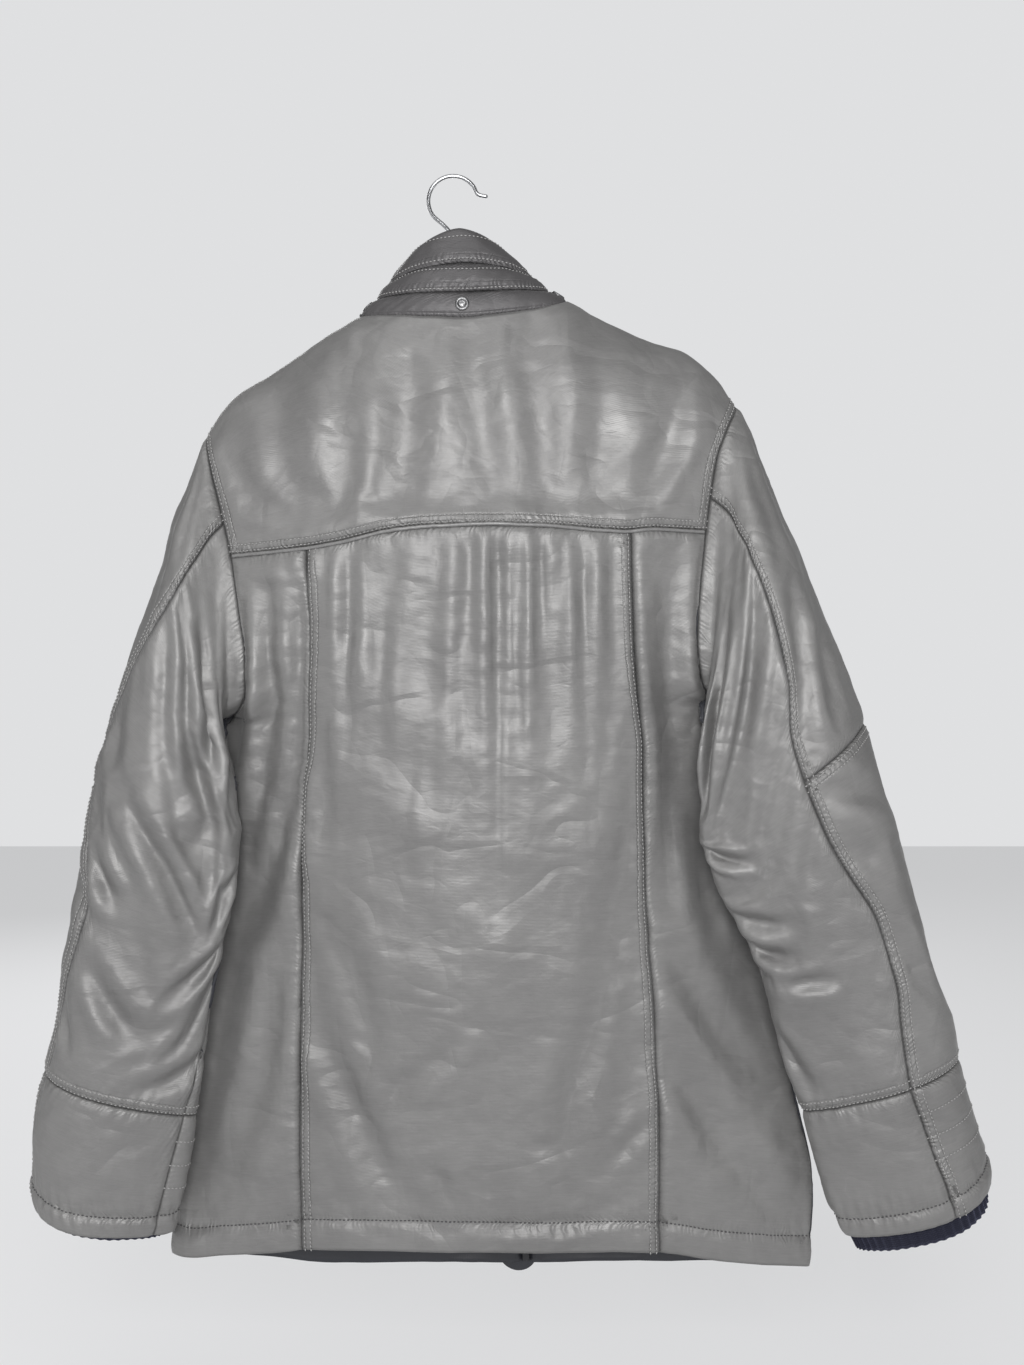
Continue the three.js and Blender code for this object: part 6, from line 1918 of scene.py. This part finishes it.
def makeHook():
    seatX = hook["seatX"]
    x, z, radius = hook["bend"]
    points = [(seatX, -2, float(ridge(seatX)) - hook["seatBelow"])] + hook["shank"]
    for a in map(math.radians, hook["bendDegrees"]):
        points.append((x + radius * math.cos(a), 0, z + radius * math.sin(a)))
    return points + hook["tip"]


def smoothPath(points, each):
    # a centripetal curve through the points
    pts = np.array(points, float)
    pts = np.concatenate([2 * pts[:1] - pts[1:2], pts, 2 * pts[-1:] - pts[-2:-1]])
    out = []
    for k in range(1, len(pts) - 2):
        p = pts[k - 1 : k + 3]
        knots = np.concatenate([[0], np.cumsum(np.linalg.norm(np.diff(p, axis=0), axis=1) ** 0.5)])
        for t in np.linspace(knots[1], knots[2], each, endpoint=False):
            a = [mix(p[i], p[i + 1], (t - knots[i]) / (knots[i + 1] - knots[i])) for i in range(3)]
            b = [mix(a[i], a[i + 1], (t - knots[i]) / (knots[i + 2] - knots[i])) for i in range(2)]
            out.append(mix(b[0], b[1], (t - knots[1]) / (knots[2] - knots[1])))
    out.append(pts[-2])
    return np.array(out)


makeTube("hook_wire", smoothPath(makeHook(), 6), hook["radius"], chromeMaterial, ["hanger_hook"], 16)
report("hook made")

# snaps on the collar base
snap = {
    "profile": [  # radius, height
        (0, 0), (5.6, 0), (5.9, 0.5), (5.85, 1.0), (5.5, 1.6), (5.0, 1.9), (4.3, 2.0),
        (3.6, 1.85), (3.1, 1.4), (2.9, 0.95), (2.2, 0.9), (1.4, 0.95), (0.6, 1.05), (0, 1.1),
    ],
    "sides": 40,
    "degrees": {"back": 0, "left": -85.56, "right": 85.56},
    "share": 0.135,
    "lift": 0.45,
}


def makeSnap(side, degrees):
    t = snap["share"]
    place = collarPoint(degrees, t)
    alongRing = collarPoint(degrees + 1, t) - collarPoint(degrees - 1, t)
    upRing = collarPoint(degrees, t + 0.02) - collarPoint(degrees, t - 0.02)
    out = np.cross(alongRing, upRing)
    out /= np.linalg.norm(out)
    if np.dot(out, place - np.array([cut["neckX"], 30, place[2]])) < 0:
        out = -out
    side1 = alongRing / np.linalg.norm(alongRing)
    side2 = np.cross(out, side1)
    around = snap["sides"]
    points = []
    foot, *rings, top = snap["profile"]
    for r, h in rings:
        for a in np.arange(around) * 2 * math.pi / around:
            spoke = r * (math.cos(a) * side1 + math.sin(a) * side2)
            points.append((place + out * (h + snap["lift"]) + spoke) * 0.001)
    faces = gridFaces(len(rings), around, True, False).tolist()
    for first, h in ((0, foot[1]), ((len(rings) - 1) * around, top[1])):
        points.append((place + out * (h + snap["lift"])) * 0.001)
        faces += [(first + k, first + (k + 1) % around, len(points) - 1) for k in range(around)]
    mesh = bpy.data.meshes.new("snap")
    mesh.from_pydata([tuple(p) for p in points], [], faces)
    facesOut(mesh)
    mesh.materials.append(nickelMaterial)
    declare(newPiece("snap_%s_ring" % side, mesh), ["snap_" + side])


for side, degrees in snap["degrees"].items():
    makeSnap(side, degrees)

# the front closing: zip tape, teeth and the placket over them
closing = {
    "tapeHalf": 2.8,
    "sunk": 0.5,
    "tapeWall": 0.002,
    "tooth": {"Pitch": 0.0026, "Length": 0.0013, "Width": 0.0029, "Height": 0.0012},
    "placketTop": -232.0,
    "placketShift": -7,  # its middle stands beside the zip
    "placketHalf": 18,
    "placketLift": 3.1,
    "placketWall": 0.0024,
    "placketStitch": 4.5,
}


def frontSurface(x, z):
    point = sheetPoint(True, x, z)
    e = 0.5
    dx = sheetPoint(True, x + e, z) - point
    dz = sheetPoint(True, x, z - e) - point
    out = np.cross(dx, dz)
    out /= np.linalg.norm(out, axis=-1, keepdims=True)
    return point, np.where(out[..., 1:2] < 0, -out, out)


def makeZip():
    offsets = np.linspace(-1, 1, 5) * closing["tapeHalf"]
    rows, directions = [], []
    for t in np.linspace(0.98, 0.06, 14):
        half = collarOf["half"](t)
        degrees = 180 - np.degrees(np.arcsin(offsets / half))
        rows.append(collarPoint(np.where(degrees > 180, degrees - 360, degrees), t))
        directions.append(np.broadcast_to((0.0, 1.0, 0.0), (5, 3)))
    for z in np.linspace(cut["neckFrontZ"] - 3, zipEnd() + 1.5, 120):
        point, out = frontSurface(middleOf["zip"](z) + offsets, z)
        rows.append(point)
        directions.append(out)
    grid, out = np.array(rows), np.array(directions)
    grid = grid - out * closing["sunk"]
    flip = gridNormals(grid, False, False)[:, :, 1].mean() < 0
    makeGridPiece("zip_tape", grid, [zipTapeMaterial], closing["tapeWall"], False, flip, ["zip"])
    sides = [(grid[:, k] + out[:, k] * 0.5, out[:, k]) for k in (1, 3)]
    toothTree = makeThreadTree("toothRun", "block")
    layAlong("zip_teeth", sides, toothTree, closing["tooth"], zipToothMaterial)


def makePlacket():
    u = -np.cos(math.pi * np.linspace(0, 1, 25))
    lowEdge = float(frontHem(60.0)) + 12 - 20 * np.sqrt(1 - 0.98 * u * u)  # with rounded corners
    z = mix(closing["placketTop"], lowEdge[None], np.linspace(0, 1, 241)[:, None])
    x = middleOf["zip"](z) + closing["placketShift"] + closing["placketHalf"] * u[None]
    point, out = frontSurface(x, z)
    uneven = 0.5 * smoothNoise(point, (30, 30, 22), 41) + 0.6 * np.cos(u * math.pi / 2)[None]
    grid = point + out * (closing["placketLift"] + uneven)[..., None]
    flip = gridNormals(grid, False, False)[:, :, 1].mean() < 0
    shade = seamPlaces(grid, {"left": 0.8, "right": 0.8})
    piece = makeGridPiece("placket_cloth", grid, [shellMaterial, liningMaterial], closing["placketWall"],
                          False, flip, ["placket"], shade)
    declareCloth(piece, grid)
    return grid, flip


makeZip()
placketGrid, placketFlip = makePlacket()
outward = np.tile((0, 1.0, 0), (len(placketGrid), 1))
frontLines = []
for edge in ("left", "right"):
    line = lineFromEdge(placketGrid, edge, closing["placketStitch"], 0.3, placketFlip)
    frontLines.append((line, outward))
layAlong("placket_stitches", frontLines, threadTree, sizes, threadMaterial)
hanger = bpy.data.objects["hanger_body"]
if not hanger.material_slots:
    hanger.data.materials.append(hangerMaterial)
for holder in hanger.material_slots:
    holder.material = hangerMaterial
report("small pieces made")

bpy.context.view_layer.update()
for name, row in flatSize.items():
    print("flat %s %.3f x %.3f m, %.4f m2" % ((name,) + row))
